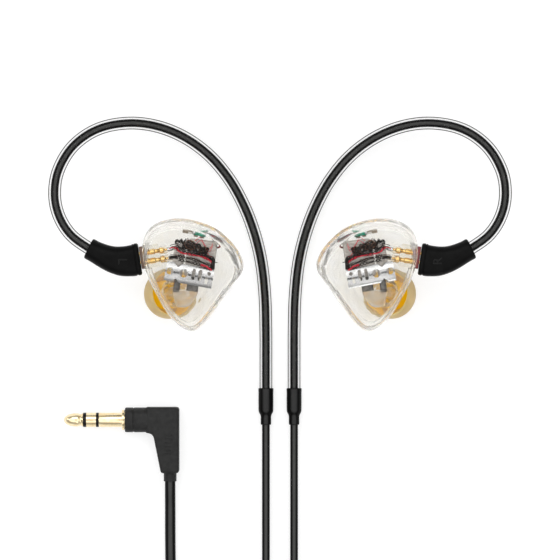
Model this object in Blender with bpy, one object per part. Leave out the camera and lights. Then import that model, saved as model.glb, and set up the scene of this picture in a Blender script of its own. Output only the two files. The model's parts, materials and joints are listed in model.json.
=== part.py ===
"""A pair of clear-shelled in-ear monitors lying on a table, with their cable.

The earpieces lie face up on their eartips. +Z is up, +X runs from the left earpiece to the
right one, and +Y points from the plug end of the cable to the tops of the ear hooks. The
origin is on the table, in the middle of the earpieces and their hooks. Everything between
the left sleeve and the left eartip is made once, and an empty that mirrors X carries the
right-hand copy. Lengths below are in millimetres, and meshes are written in metres.
"""

import math

import bmesh
import bpy
from mathutils import Matrix, Quaternion, Vector
from mathutils.geometry import interpolate_bezier

MM = 0.001

# Driving dimensions of one earpiece, measured from the middle of its shell.
SHELL_OUTLINE = [  # angle in degrees and radius of the outermost edge, seen on the faceplate
    (0, 11.95), (10, 12.6), (20, 12.45), (40, 12.0), (60, 12.05), (80, 12.3), (100, 13.15),
    (115, 14.0), (130, 14.6), (142, 14.2), (155, 13.1), (168, 11.8), (182, 10.7), (198, 10.05),
    (213, 9.92), (230, 10.6), (246, 11.85), (258, 13.1), (270, 13.97), (278, 13.4),
    (290, 11.8), (305, 10.35), (320, 9.8), (337, 9.98), (350, 10.85),
]  # fmt: skip
SEAM_HEIGHT = 3.0  # the glued joint between shell and faceplate
PLATE_TOP = 4.5
PLATE_SHIFT = Vector((-0.5, -0.8))  # the faceplate's flat sits low and towards the cable
GLUE_GAP = 0.1

NOZZLE_ROOT = Vector((-3.7, -4.6, -4.4))
NOZZLE_DIRECTION = Vector((-0.45, -0.1, -0.89)).normalized()
NOZZLE_LENGTH = 6.3
NOZZLE_RADIUS = 2.45
NOZZLE_LIP = 2.6
SOUND_BORE = 1.5
TIP_SIDES = 14

# The shell's centre in the row frame, for the left earpiece.
SHELL_X, SHELL_Y = -21.1, -0.45

# Two-pin connector: origin at the boot's mating face, running into the shell.
CONNECTOR_X, CONNECTOR_Y = -33.4, 3.1
CONNECTOR_TILT = math.radians(8.5)
CONNECTOR_DROP = 0.3  # how far the pins lie below the shell's widest level
PIN_PITCH = 2.1
PIN_RADIUS = 0.39
INSERT_WIDTH, INSERT_HEIGHT, INSERT_DEPTH = 5.4, 3.2, 1.25
SOCKET_FACE = 1.45  # the socket block's outer face, along the connector
SOCKET_DEPTH = 3.4
PORT_ROOT = 0.8  # how far a sound port reaches inside its driver

# Ear hook, sleeve and cable.
TUBE_RADIUS, TUBE_BORE = 1.55, 1.16
CORE_RADIUS = 0.95
HOOK_STEP, HOOK_SIDES = 4.6, 8  # spacing of the rings along the tube, and points in each
HOOK_END_Y = -33.3
SLEEVE_TOP_Y, SLEEVE_LENGTH = -28.3, 8.8
SLEEVE_RADIUS, SLEEVE_NECK = 1.84, 1.28
LEG_X = 3.4  # each leg runs this far from the middle
LEG_LEVEL = SLEEVE_RADIUS  # how high each leg lies at its sleeve
MAIN_RADIUS = 1.3
FLOOR_GAP = 0.01

# Two flat coils, each of two layers.
LEG_COIL = Vector((17.5, -108.0))
LEG_COIL_OUTER, LEG_COIL_INNER = 14.65, 7.35  # centre lines of the outermost and innermost turns
LEG_PITCH = 1.95  # from one strand to the next
MAIN_COIL = Vector((-42.0, -114.4))
MAIN_COIL_OUTER, MAIN_COIL_INNER = 20.1, 9.83
LAYER_STEP = 1.01  # the second layer's height over the first, in cable diameters
LEG_LEAD, MAIN_LEAD = 10.6, 11.3  # how far each coil's straight leads reach past its centre
COIL_SIDES = 32
LEAD_INSET = 0.04  # keeps a lead's faces off the coil's own, so that the two join cleanly

# Splitter, slider and plug.
SPLITTER_RIGHT, SPLITTER_LEFT, SPLITTER_Y = -4.5, -18.5, -94.3
SPLITTER_THICK = 4.4
SLIDER_Y, SLIDER_LENGTH, SLIDER_WIDTH, SLIDER_HOLE = -79.0, 7.0, 11.4, 1.15
PLUG_X, PLUG_TOP, PLUG_BOTTOM = -26.5, -32.8, -48.7
PLUG_THICK = 5.6
JACK_Y = PLUG_TOP - 3.1
JACK_SHOULDER = PLUG_X - 10.9
JACK_RADIUS = 1.75  # a standard 3.5 mm stereo plug
JACK_SIDES = 16

# Centre line of the left ear hook, from inside the boot to inside the sleeve.
HOOK_ROUTE = [
    (-42.6, 3.85, 13.5), (-45.1, 5.1, 13.5), (-50.0, 8.7, 13.2), (-52.9, 13.4, 12.6),
    (-53.9, 18.6, 11.8), (-53.0, 24.2, 10.8), (-49.6, 29.9, 9.6), (-44.0, 33.9, 8.4),
    (-37.0, 35.5, 7.2), (-30.0, 34.9, 6.0), (-23.2, 32.3, 4.9), (-17.2, 28.0, 4.0),
    (-12.4, 22.4, 3.2), (-8.8, 16.0, 2.6), (-6.2, 9.2, 2.2), (-4.5, 2.0, 1.95),
    (-3.65, -6.0, 1.86), (-3.42, -14.0, 1.84), (-3.4, -22.0, 1.84), (-3.4, -29.0, 1.84),
    (-3.4, -36.8, 1.84),
]  # fmt: skip
# Legs from the sleeves to the leg coil, and on from it to the splitter.
LEFT_LEG_ROUTE = [
    (-3.4, -37.4, 1.84), (-3.4, -52.0, 1.84), (-3.4, -68.0, 1.84), (-3.4, -82.0, 1.84),
    (-2.9, -86.0, 1.4), (-1.5, -89.8, 1.0), (1.0, -93.2, 0.98), (2.6, -95.3, 0.98),
    (2.84, -96.9, 0.98),
]  # fmt: skip
RIGHT_LEG_ROUTE = [
    (3.4, -37.4, 1.84), (3.4, -52.0, 1.84), (3.4, -68.0, 1.84), (3.4, -82.0, 1.84),
    (3.5, -86.0, 1.4), (3.8, -89.8, 1.0), (4.45, -93.2, 0.98), (4.78, -95.3, 0.98),
    (4.83, -96.9, 0.98),
]  # fmt: skip
# The strands change places between the coil's layers, which makes the two legs equally long.
LEFT_TAIL_ROUTE = [
    (6.6, -95.32, 2.95), (5.0, -95.32, 3.2), (2.5, -95.32, 3.25), (0.0, -95.36, 3.15),
    (-2.2, -95.4, 2.6), (-4.2, -95.4, 2.2),
]  # fmt: skip
RIGHT_TAIL_ROUTE = [
    (6.6, -93.32, 2.95), (5.0, -93.32, 3.2), (2.5, -93.32, 3.25), (0.0, -93.28, 3.15),
    (-2.2, -93.24, 2.6), (-4.2, -93.2, 2.2),
]  # fmt: skip
MAIN_CABLE_ROUTE = [
    (-18.9, -94.3, 2.15), (-19.8, -94.3, 2.05), (-21.4, -94.3, 1.55), (-23.2, -94.3, 1.34),
    (-26.0, -94.3, 1.32), (-30.4, -94.3, 1.32),
]  # fmt: skip
PLUG_CABLE_ROUTE = [
    (-21.9, -102.7, 3.95), (-22.1, -98.5, 4.2), (-22.7, -94.3, 4.25), (-23.7, -89.0, 3.7),
    (-25.0, -83.0, 2.6), (-26.0, -77.0, 1.8), (-26.4, -71.0, 1.4), (-26.5, -64.0, 1.4),
    (-26.5, -57.0, 1.9), (-26.5, -52.5, 2.6), (-26.5, -49.0, 2.8),
]  # fmt: skip

COLOURS = {  # colour, roughness, metallic, alpha
    "clear_resin": ((0.93, 0.94, 0.93), 0.05, 0.0, 0.3),
    "amber_silicone": ((0.86, 0.56, 0.06), 0.35, 0.0, 1.0),
    "cream_silicone": ((0.85, 0.76, 0.58), 0.4, 0.0, 1.0),
    "driver_steel": ((0.62, 0.61, 0.58), 0.3, 1.0, 1.0),
    "polished_steel": ((0.85, 0.85, 0.86), 0.12, 1.0, 1.0),
    "circuit_green": ((0.12, 0.55, 0.36), 0.4, 0.0, 1.0),
    "red_enamel": ((0.72, 0.05, 0.08), 0.3, 0.0, 1.0),
    "black_enamel": ((0.02, 0.02, 0.02), 0.3, 0.0, 1.0),
    "frosted_resin": ((0.8, 0.79, 0.76), 0.6, 0.0, 0.7),
    "gold_plate": ((0.95, 0.72, 0.32), 0.15, 1.0, 1.0),
    "insert_red": ((0.3, 0.05, 0.05), 0.4, 0.0, 1.0),
    "insert_brown": ((0.25, 0.17, 0.12), 0.4, 0.0, 1.0),
    "boot_rubber": ((0.015, 0.015, 0.015), 0.5, 0.0, 1.0),
    "clear_tube": ((0.9, 0.9, 0.9), 0.1, 0.0, 0.3),
    "cable_black": ((0.03, 0.03, 0.03), 0.35, 0.0, 1.0),
    "plug_black": ((0.04, 0.04, 0.04), 0.55, 0.0, 1.0),
    "filter_mesh": ((0.7, 0.7, 0.7), 0.5, 1.0, 1.0),
    "jack_black": ((0.01, 0.01, 0.01), 0.3, 0.0, 1.0),
}


def material(name):
    made = bpy.data.materials.get(name)
    if made is None:
        colour, roughness, metallic, alpha = COLOURS[name]
        made = bpy.data.materials.new(name)
        made.use_nodes = True
        shader = made.node_tree.nodes["Principled BSDF"]
        shader.inputs["Base Color"].default_value = (*colour, 1.0)
        shader.inputs["Roughness"].default_value = roughness
        shader.inputs["Metallic"].default_value = metallic
        shader.inputs["Alpha"].default_value = alpha
    return made


def add_object(name, mesh, colour=None, parent=None, at=(0, 0, 0)):
    """Link a mesh or curve as an object, placed by its location in millimetres."""
    made = bpy.data.objects.new(name, mesh)
    bpy.context.scene.collection.objects.link(made)
    made.parent = parent
    made.location = Vector(at) * MM
    if colour:
        mesh.materials.append(material(colour))
    return made


def add_empty(name, at, parent=None):
    made = bpy.data.objects.new(name, None)
    bpy.context.scene.collection.objects.link(made)
    made.parent = parent
    made.location = Vector(at) * MM
    made.empty_display_size = 2 * MM
    return made


def ring_mesh(name, rings, hollow=False):
    """A closed body from rings of points in millimetres: capped at both ends, or hollow,
    with the last ring joined back to the first."""
    shape = bmesh.new()
    rows = [[shape.verts.new(Vector(p) * MM) for p in ring] for ring in rings]
    pairs = list(zip(rows, rows[1:] + rows[:1] if hollow else rows[1:]))
    for low, high in pairs:
        for i in range(len(low)):
            j = (i + 1) % len(low)
            shape.faces.new((low[i], low[j], high[j], high[i]))
    if not hollow:
        shape.faces.new(rows[0][::-1])
        shape.faces.new(rows[-1])
    bmesh.ops.recalc_face_normals(shape, faces=shape.faces[:])
    mesh = bpy.data.meshes.new(name)
    shape.to_mesh(mesh)
    shape.free()
    mesh.shade_smooth()
    mesh.set_sharp_from_angle(angle=math.radians(35))
    return mesh


def frame_along(direction):
    """Rotation whose local X is the direction and whose local Z leans upwards."""
    x = Vector(direction).normalized()
    up = Vector((0, 0, 1)) if abs(x.z) < 0.999 else Vector((0, 1, 0))
    y = up.cross(x).normalized()
    return Matrix((x, y, x.cross(y))).transposed()


def turned_rings(profile, origin, direction, sides):
    """Rings of a turned shape: the profile holds (radius, distance along the axis)."""
    turn = frame_along(direction)
    rings = []
    for radius, along in profile:
        ring = []
        for i in range(sides):
            a = 2 * math.pi * i / sides
            ring.append(Vector(origin) + turn @ Vector((along, radius * math.cos(a), radius * math.sin(a))))
        rings.append(ring)
    return rings


def turned(name, profile, origin, direction, sides=12, hollow=False):
    return ring_mesh(name, turned_rings(profile, origin, direction, sides), hollow)


def rounded_section(width, height, sides, power):
    """Points of a superellipse: a power of 2 is an ellipse, and more squares it off."""
    points = []
    for i in range(sides):
        a = 2 * math.pi * (i + 0.5) / sides
        c, s = math.cos(a), math.sin(a)
        points.append((
            width / 2 * math.copysign(abs(c) ** (2 / power), c),
            height / 2 * math.copysign(abs(s) ** (2 / power), s),
        ))  # fmt: skip
    return points


def swept_section(name, stations, sides=16):
    """A body through stations of (centre, direction, width, height, power)."""
    rings = []
    for centre, direction, width, height, power in stations:
        turn = frame_along(direction)
        section = rounded_section(width, height, sides, power)
        rings.append([Vector(centre) + turn @ Vector((0, y, z)) for y, z in section])
    return ring_mesh(name, rings)


def smooth_route(points, step):
    """Points about step apart on one smooth curve through the route's own points."""
    points = [Vector(p) for p in points]
    tangents = [(b - a) / 2 for a, b in zip([points[0], *points[:-1]], [*points[1:], points[-1]])]
    tangents[0] *= 2
    tangents[-1] *= 2
    dense = []
    for i in range(len(points) - 1):
        a, b = points[i], points[i + 1]
        size = (b - a).length
        lead = tangents[i].normalized() * size / 3
        tail = tangents[i + 1].normalized() * size / 3
        dense += interpolate_bezier(a, a + lead, b - tail, b, 24)[:-1]
    dense.append(points[-1])
    lengths = [0.0]
    for a, b in zip(dense, dense[1:]):
        lengths.append(lengths[-1] + (b - a).length)
    count = max(2, round(lengths[-1] / step) + 1)
    spaced, k = [], 0
    for i in range(count):
        target = lengths[-1] * i / (count - 1)
        while k < len(dense) - 2 and lengths[k + 1] < target:
            k += 1
        share = (target - lengths[k]) / max(lengths[k + 1] - lengths[k], 1e-9)
        spaced.append(dense[k].lerp(dense[k + 1], min(share, 1.0)))
    return spaced


def cable(name, route, radius, colour, step, bevel_resolution=2, parent=None):
    """A solid cable: a curve with a round bevel and filled caps."""
    line = bpy.data.curves.new(name, "CURVE")
    line.dimensions = "3D"
    line.bevel_depth = radius * MM
    line.bevel_resolution = bevel_resolution
    line.use_fill_caps = True
    points = smooth_route(route, step)
    spline = line.splines.new("POLY")
    spline.points.add(len(points) - 1)
    for target, p in zip(spline.points, points):
        target.co = (*(p * MM), 1.0)
    return add_object(name, line, colour, parent)


def hollow_tube(name, route, outer, inner, step, sides):
    """A tube with a bore, open at both ends."""
    points = smooth_route(route, step)
    outside, inside = [], []
    for i, p in enumerate(points):
        direction = points[min(i + 1, len(points) - 1)] - points[max(i - 1, 0)]
        turn = frame_along(direction)
        for rings, radius in ((outside, outer), (inside, inner)):
            rings.append([
                p + turn @ Vector((0, radius * math.cos(a), radius * math.sin(a)))
                for a in (2 * math.pi * k / sides for k in range(sides))
            ])  # fmt: skip
    return ring_mesh(name, outside + inside[::-1], hollow=True)


def box_mesh(name, size, centre, turn=None, bevel=0.0):
    """A box with its long edges rounded, as one closed mesh."""
    shape = bmesh.new()
    bmesh.ops.create_cube(shape, size=1.0)
    bmesh.ops.scale(shape, vec=Vector(size) * MM, verts=shape.verts[:])
    if bevel:
        bmesh.ops.bevel(
            shape, geom=shape.edges[:], offset=bevel * MM, segments=1, affect="EDGES"
        )  # fmt: skip
    matrix = (turn or Matrix.Identity(3)).to_4x4()
    matrix.translation = Vector(centre) * MM
    bmesh.ops.transform(shape, matrix=matrix, verts=shape.verts[:])
    mesh = bpy.data.meshes.new(name)
    shape.to_mesh(mesh)
    shape.free()
    return mesh


def helper(name, mesh, parent=None):
    """A cutter, or a shape that is joined on: it isn't a piece of the object itself."""
    made = add_object(name, mesh, parent=parent)
    made.hide_render = True
    made.display_type = "WIRE"
    return made


def combine(target, operand, operation="DIFFERENCE"):
    modifier = target.modifiers.new(operand.name, "BOOLEAN")
    modifier.operation = operation
    modifier.object = operand
    modifier.solver = "EXACT"


# ---------------------------------------------------------------- the left earpiece


def shell_ring(centre, scale, lean=0.0, roundness=0.0, radius=0.0):
    """One level of the shell. It leans from flat to square with the nozzle, and its shape
    goes from the outline, at that scale, to a circle of that radius."""
    down = Vector((0, 0, -1))
    full = down.rotation_difference(NOZZLE_DIRECTION)
    turn = Quaternion((1, 0, 0, 0)).slerp(full, lean)
    ring = []
    for degrees, outermost in SHELL_OUTLINE:
        a = math.radians(degrees)
        r = (1 - roundness) * scale * outermost + roundness * radius
        ring.append(Vector(centre) + turn @ Vector((r * math.cos(a), r * math.sin(a), 0)))
    return ring


def nozzle_ring(along, radius):
    centre = NOZZLE_ROOT + NOZZLE_DIRECTION * along
    return shell_ring(centre, 0, lean=1.0, roundness=1.0, radius=radius)


def shell_mesh():
    """A thin-walled cup whose ear side runs down into the hollow nozzle."""
    outside = [
        shell_ring((-0.17, -0.3, SEAM_HEIGHT), 0.945),
        shell_ring((-0.05, -0.1, 1.5), 0.985),
        shell_ring((0, 0, 0), 1.0),
        shell_ring((-0.1, -0.2, -1.5), 0.965),
        shell_ring((-0.5, -0.8, -2.7), 0.86),
        shell_ring((-1.2, -1.9, -3.7), 0.7),
        shell_ring((-2.3, -3.2, -4.5), 0.5, 0.35, 0.3, 4.4),
        nozzle_ring(0.7, 3.5),
        nozzle_ring(1.9, NOZZLE_RADIUS),
        nozzle_ring(5.2, NOZZLE_RADIUS),
        nozzle_ring(5.5, NOZZLE_LIP),
        nozzle_ring(NOZZLE_LENGTH, 2.45),
    ]
    inside = [
        nozzle_ring(NOZZLE_LENGTH, 2.05),
        nozzle_ring(5.6, 2.05),
        nozzle_ring(5.5, SOUND_BORE),
        nozzle_ring(1.6, SOUND_BORE),
        nozzle_ring(0.1, 2.4),
        shell_ring((-2.3, -3.2, -3.5), 0.42, 0.35, 0.3, 3.6),
        shell_ring((-1.2, -1.9, -2.8), 0.61),
        shell_ring((-0.5, -0.8, -1.9), 0.76),
        shell_ring((-0.1, -0.2, -0.9), 0.86),
        shell_ring((0, 0, 0.6), 0.9),
        shell_ring((-0.17, -0.3, SEAM_HEIGHT), 0.855),
    ]
    return ring_mesh("shell", outside + inside, hollow=True)


def faceplate_mesh():
    """A flat lid with a rounded edge, glued on at the seam."""
    base = SEAM_HEIGHT + GLUE_GAP
    levels = [  # height, scale of the outline, share of the shift towards the flat
        (base, 0.942, 0.35), (3.5, 0.93, 0.5), (4.0, 0.905, 0.75), (4.35, 0.872, 0.95),
        (PLATE_TOP, 0.84, 1.0),
    ]  # fmt: skip
    rings = []
    for height, scale, shift in levels:
        x, y = PLATE_SHIFT * shift
        rings.append(shell_ring((x, y, height), scale))
    return ring_mesh("faceplate", rings)


def connector_frame():
    """Origin and rotation of the connector, from the shell's middle: X runs into the shell
    and Y across the two pins."""
    origin = Vector((CONNECTOR_X - SHELL_X, CONNECTOR_Y - SHELL_Y, -CONNECTOR_DROP))
    return origin, Matrix.Rotation(CONNECTOR_TILT, 3, "Z")


def pin_axes():
    """Start of each pin's centre line and the direction that both share."""
    origin, turn = connector_frame()
    across = turn @ Vector((0, PIN_PITCH / 2, 0))
    return [origin + across, origin - across], turn @ Vector((1, 0, 0))


def socket_box(name, start, depth, clearance=0.0, bevel=0.7):
    """A block on the connector's axis, rounded where it isn't a cutter."""
    origin, turn = connector_frame()
    size = (depth, INSERT_WIDTH + 2 * clearance, INSERT_HEIGHT + 2 * clearance)
    centre = origin + turn @ Vector((start + depth / 2, 0, 0))
    return box_mesh(name, size, centre, turn, bevel)


def add_shell_and_plate(parent, at):
    shell = add_object("left_shell", shell_mesh(), "clear_resin", parent, at)
    cutter = helper("left_socket_cut", socket_box("socket_cut", -3.0, 9.0, 0.15, 0.4), parent)
    cutter.location = shell.location
    combine(shell, cutter)
    add_object("left_faceplate", faceplate_mesh(), "clear_resin", parent, at)


def add_nozzle_filter(parent, at):
    end = NOZZLE_ROOT + NOZZLE_DIRECTION * 5.75
    mesh = turned("filter", [(1.9, 0), (1.9, 0.4)], end, NOZZLE_DIRECTION, 14)
    add_object("left_nozzle_filter", mesh, "filter_mesh", parent, at)


def add_sockets(parent, at):
    """The two-pin socket: a clear block in the shell's wall, with two turned contacts."""
    mesh = socket_box("socket_block", SOCKET_FACE, SOCKET_DEPTH)
    block = add_object("left_socket_block", mesh, "frosted_resin", parent, at)
    profile = [
        (0.45, 0.15), (0.66, 0.15), (0.66, 2.2), (0.5, 2.4), (0.5, 3.0), (0.64, 3.2),
        (0.64, 4.6), (0.32, 4.8), (0.32, 5.3), (0.2, 5.3), (0.2, 4.4), (0.45, 4.2),
    ]  # fmt: skip
    starts, along = pin_axes()
    for side, start in zip(("upper", "lower"), starts):
        face = start + along * SOCKET_FACE
        bore = turned("contact_bore", [(0.75, -1.0), (0.75, SOCKET_DEPTH + 1.0)], face, along, 12)
        cutter = helper(f"left_contact_cut_{side}", bore, parent)
        cutter.location = block.location
        combine(block, cutter)
        mesh = turned("contact", profile, face, along, 10, hollow=True)
        add_object(f"left_{side}_contact", mesh, "gold_plate", parent, at)


def add_driver(name, size, centre, snout, across, parent, at):
    """A balanced-armature can with its sound port on the short side that faces the nozzle. The
    port is that far across from the can's middle."""
    turn = Matrix.Rotation(math.radians(-8), 3, "Z")
    can = add_object(name, box_mesh("can", size, centre, turn, 0.35), "driver_steel", parent, at)
    width, length, height = snout
    port_at = Vector(centre) + turn @ Vector((across, (PORT_ROOT - size[1] - length) / 2, 0))
    port_mesh = box_mesh("port", (width, length + PORT_ROOT, height), port_at, turn, 0.2)
    port = helper(f"{name}_port", port_mesh, parent)
    port.location = can.location
    combine(can, port, "UNION")


def add_drivers(parent, at):
    add_driver("left_bass_driver", (7.0, 9.2, 2.5), (2.2, 3.3, 0.35), (2.8, 3.3, 1.8), -1.0, parent, at)
    add_driver("left_treble_driver", (2.7, 9.0, 2.2), (-3.13, 3.09, 0.3), (1.6, 3.2, 1.5), 0.5, parent, at)


def add_waveguide(parent, at):
    """The sound tube: a broad mouth under both driver ports that narrows into the nozzle."""
    down = NOZZLE_DIRECTION
    stations = [
        ((-1.5, -5.05, -0.1), (0, -1, -0.2), 6.0, 2.3, 4.0),
        ((-1.6, -5.95, -0.45), (0, -1, -0.4), 5.0, 2.3, 3.5),
        ((-1.8, -6.8, -1.05), (0, -1, -0.7), 4.1, 2.3, 3.0),
        ((-2.3, -7.2, -1.9), (-0.2, -0.5, -1), 3.2, 2.3, 2.5),
        ((-2.9, -6.6, -2.8), (-0.3, 0.5, -1), 2.6, 2.2, 2.0),
        (NOZZLE_ROOT - down * 0.5, down, 2.3, 2.3, 2.0),
        (NOZZLE_ROOT + down * 1.0, down, 2.3, 2.3, 2.0),
    ]
    rings = []
    for centre, direction, width, height, power in stations:
        x = Vector(direction).normalized()
        y = Vector((1, 0, 0)) - x * x.x
        y.normalize()
        z = x.cross(y)
        section = rounded_section(width, height, 12, power)
        rings.append([Vector(centre) + y * a + z * b for a, b in section])
    add_object("left_waveguide", ring_mesh("waveguide", rings), "frosted_resin", parent, at)


def add_badge_plate(parent, at):
    """A polished strip under the faceplate, pierced with a plain row of slots and holes."""
    turn = Matrix.Rotation(math.radians(-10.3), 3, "Z")
    centre = Vector((-0.5, -0.5, 2.1))
    plate = add_object(
        "left_badge_plate", box_mesh("badge", (11.5, 4.1, 0.3), centre, turn), "polished_steel", parent, at
    )  # fmt: skip
    spots = [(-4.3, "hole"), (-2.4, "slot"), (-1.0, "slot"), (0.4, "slot"), (2.2, "hole"), (4.2, "slot")]
    for i, (along, kind) in enumerate(spots):
        middle = centre + turn @ Vector((along, 0, 0))
        if kind == "hole":
            mesh = turned("badge_hole", [(0.75, -1), (0.75, 1)], middle, (0, 0, 1), 10)
        else:
            mesh = box_mesh("badge_slot", (0.75, 2.5, 2), middle, turn)
        cutter = helper(f"left_badge_cut_{i}", mesh, parent)
        cutter.location = plate.location
        combine(plate, cutter)


def add_crossover(parent, at):
    turn = Matrix.Rotation(math.radians(-12), 3, "Z")
    mesh = box_mesh("board", (3.2, 0.8, 2.2), (1.9, 9.2, 0.7), turn)
    add_object("left_crossover_board", mesh, "circuit_green", parent, at)


def add_litz_wires(parent, at):
    """Enamelled leads from the socket contacts, over the drivers, to the crossover board."""
    red = [
        (-5.4, 5.6, 1.3), (-4.2, 5.2, 1.95), (-1.6, 4.4, 2.1), (1.6, 4.5, 2.1), (4.2, 3.6, 2.1),
        (5.8, 3.4, 2.1), (7.1, 4.4, 1.6), (7.3, 6.2, 1.2), (6.2, 8.0, 0.9), (4.6, 8.5, 0.8),
    ]  # fmt: skip
    black = [
        (-5.3, 3.8, 1.3), (-4.2, 3.5, 1.95), (-1.4, 3.1, 2.1), (1.6, 2.7, 2.1), (4.4, 1.9, 2.1),
        (6.2, 2.2, 1.6), (7.2, 4.0, 0.8), (7.2, 6.1, 0.3), (6.2, 7.8, 0.1), (4.6, 8.5, 0.1),
    ]  # fmt: skip
    for name, route, colour in (("red", red, "red_enamel"), ("black", black, "black_enamel")):
        wire = cable(f"left_{name}_wire", route, 0.2, colour, 1.2, 1, parent)
        wire.location = Vector(at) * MM


def skirt_profile():
    """(radius, distance from the nozzle's root) round the dome's wall, as one closed loop."""
    return [
        (2.75, 8.95), (4.0, 8.45), (5.2, 7.4), (5.9, 5.8), (6.0, 4.4), (5.7, 3.0), (5.0, 1.7),
        (4.75, 2.0), (5.2, 3.3), (5.4, 4.4), (5.25, 5.7), (4.6, 7.15), (3.6, 8.1), (2.75, 8.5),
    ]  # fmt: skip


def core_profile():
    """The stem that grips the nozzle, and the lining that it carries inside the dome."""
    return [
        (2.72, 1.8), (2.72, 6.5), (1.8, 6.6), (1.8, 8.6), (2.6, 8.6), (2.6, 8.3), (3.4, 7.95),
        (4.0, 7.5), (4.75, 6.6), (5.15, 5.4), (5.17, 4.4), (4.75, 2.7), (4.4, 2.9),
        (4.8, 4.5), (4.45, 6.1), (3.4, 6.7), (3.4, 1.8),
    ]  # fmt: skip


def lowest_of_tip():
    """How far the eartip's lowest point lies below the shell's middle."""
    down = -NOZZLE_DIRECTION.z
    sideways = math.sqrt(1 - down * down)
    return -NOZZLE_ROOT.z + max(t * down + r * sideways for r, t in skirt_profile())


def add_eartip(earpiece, at):
    """The silicone tip, whose empty sits on the nozzle's axis, which it is pulled off along."""
    mount = add_empty("left_eartip", Vector(at) + NOZZLE_ROOT, earpiece)
    for name, profile, colour in (
        ("left_tip_skirt", skirt_profile(), "cream_silicone"),
        ("left_tip_core", core_profile(), "amber_silicone"),
    ):
        mesh = turned(name, profile, (0, 0, 0), NOZZLE_DIRECTION, TIP_SIDES, hollow=True)
        add_object(name, mesh, colour, mount)


def add_earpiece():
    """Everything that leaves with the shell when it is pulled off its two pins."""
    shell_height = lowest_of_tip() + FLOOR_GAP
    earpiece = add_empty("left_earpiece", (CONNECTOR_X, CONNECTOR_Y, shell_height - CONNECTOR_DROP))
    at = Vector((SHELL_X - CONNECTOR_X, SHELL_Y - CONNECTOR_Y, CONNECTOR_DROP))
    add_shell_and_plate(earpiece, at)
    add_nozzle_filter(earpiece, at)
    add_sockets(earpiece, at)
    add_drivers(earpiece, at)
    add_waveguide(earpiece, at)
    add_badge_plate(earpiece, at)
    add_crossover(earpiece, at)
    add_litz_wires(earpiece, at)
    add_eartip(earpiece, at)
    return shell_height


# ------------------------------------------------- the left connector, hook and sleeve


def add_plug_end(shell_height):
    """The cable's half of the connector: coloured insert, two pins and the rubber boot."""
    middle = Vector((SHELL_X, SHELL_Y, shell_height))
    mesh = socket_box("insert", 0.1, INSERT_DEPTH, bevel=0.4)
    insert = add_object("left_plug_insert", mesh, "insert_brown", at=middle)
    starts, along = pin_axes()
    boot = add_object("left_boot", boot_mesh(shell_height), "boot_rubber")
    for side, start in zip(("upper", "lower"), starts):
        start = start + middle
        for target, reach in ((insert, (-1.0, 3.0)), (boot, (-2.2, 1.0))):
            ends = [(PIN_RADIUS + 0.1, reach[0]), (PIN_RADIUS + 0.1, reach[1])]
            hole = turned("pin_hole", ends, start, along, 10)
            combine(target, helper(f"{target.name}_{side}_pin_cut", hole))
        ends = [(PIN_RADIUS, -2.0), (PIN_RADIUS, 5.0), (PIN_RADIUS * 0.4, 5.3)]
        add_object(f"left_{side}_pin", turned("pin", ends, start, along, 8), "gold_plate")
    mouth = Vector(HOOK_ROUTE[1])
    back = Vector(HOOK_ROUTE[0]) - mouth
    ends = [(TUBE_RADIUS + 0.2, -2.0), (TUBE_RADIUS + 0.2, back.length + 0.3)]
    combine(boot, helper("left_boot_tube_cut", turned("tube_cut", ends, mouth, back, 14)))


def boot_mesh(shell_height):
    """The moulded boot bends from the connector's line to the ear hook's."""
    level = shell_height - CONNECTOR_DROP
    hook_level = HOOK_ROUTE[0][2]
    into_shell = Matrix.Rotation(CONNECTOR_TILT, 3, "Z") @ Vector((1, 0, 0))
    outward = (Vector(HOOK_ROUTE[1]) - Vector(HOOK_ROUTE[0])).normalized()
    stations = [
        ((CONNECTOR_X, CONNECTOR_Y - 0.25, level), -into_shell, 7.3, 5.3, 3.6),
        ((CONNECTOR_X - 0.35, CONNECTOR_Y - 0.3, level), -into_shell, 7.7, 5.7, 3.6),
        ((-35.6, 2.45, level), (-1, 0, 0), 7.5, 5.7, 3.4),
        ((-37.8, 2.35, level), (-1, 0.08, 0), 7.1, 5.6, 3.0),
        ((-40.0, 2.75, level), (-1, 0.25, 0), 6.4, 5.4, 2.7),
        ((-42.0, 3.5, hook_level), (-1, 0.4, 0), 5.75, 5.2, 2.4),
        ((-44.2, 4.6, hook_level), outward, 5.2, 5.0, 2.2),
        ((-45.5, 5.3, hook_level), outward, 5.2, 5.0, 2.1),
        ((-45.75, 5.42, hook_level), outward, 4.9, 4.7, 2.1),
    ]
    return swept_section("boot", stations, 18)


def add_hook():
    """The clear formed tube over the ear, with the cable running through it."""
    tube_route = [p for p in HOOK_ROUTE if p[1] > HOOK_END_Y] + [(-LEG_X, HOOK_END_Y, LEG_LEVEL)]
    tube = hollow_tube("hook_tube", tube_route, TUBE_RADIUS, TUBE_BORE, HOOK_STEP, HOOK_SIDES)
    add_object("left_hook_tube", tube, "clear_tube")
    cable("left_hook_cable", HOOK_ROUTE, CORE_RADIUS, "cable_black", HOOK_STEP, 1)


def add_sleeve():
    """Heat-shrink that steps down from the hook tube to the bare cable."""
    profile = [
        (1.7, 0), (SLEEVE_RADIUS, 0), (SLEEVE_RADIUS, 5.7), (SLEEVE_NECK, 6.6),
        (SLEEVE_NECK, SLEEVE_LENGTH), (1.08, SLEEVE_LENGTH), (1.08, 6.3), (1.7, 5.4),
    ]  # fmt: skip
    mesh = turned("sleeve", profile, (-LEG_X, SLEEVE_TOP_Y, LEG_LEVEL), (0, -1, 0), 16, hollow=True)
    add_object("left_sleeve", mesh, "boot_rubber")


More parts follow.
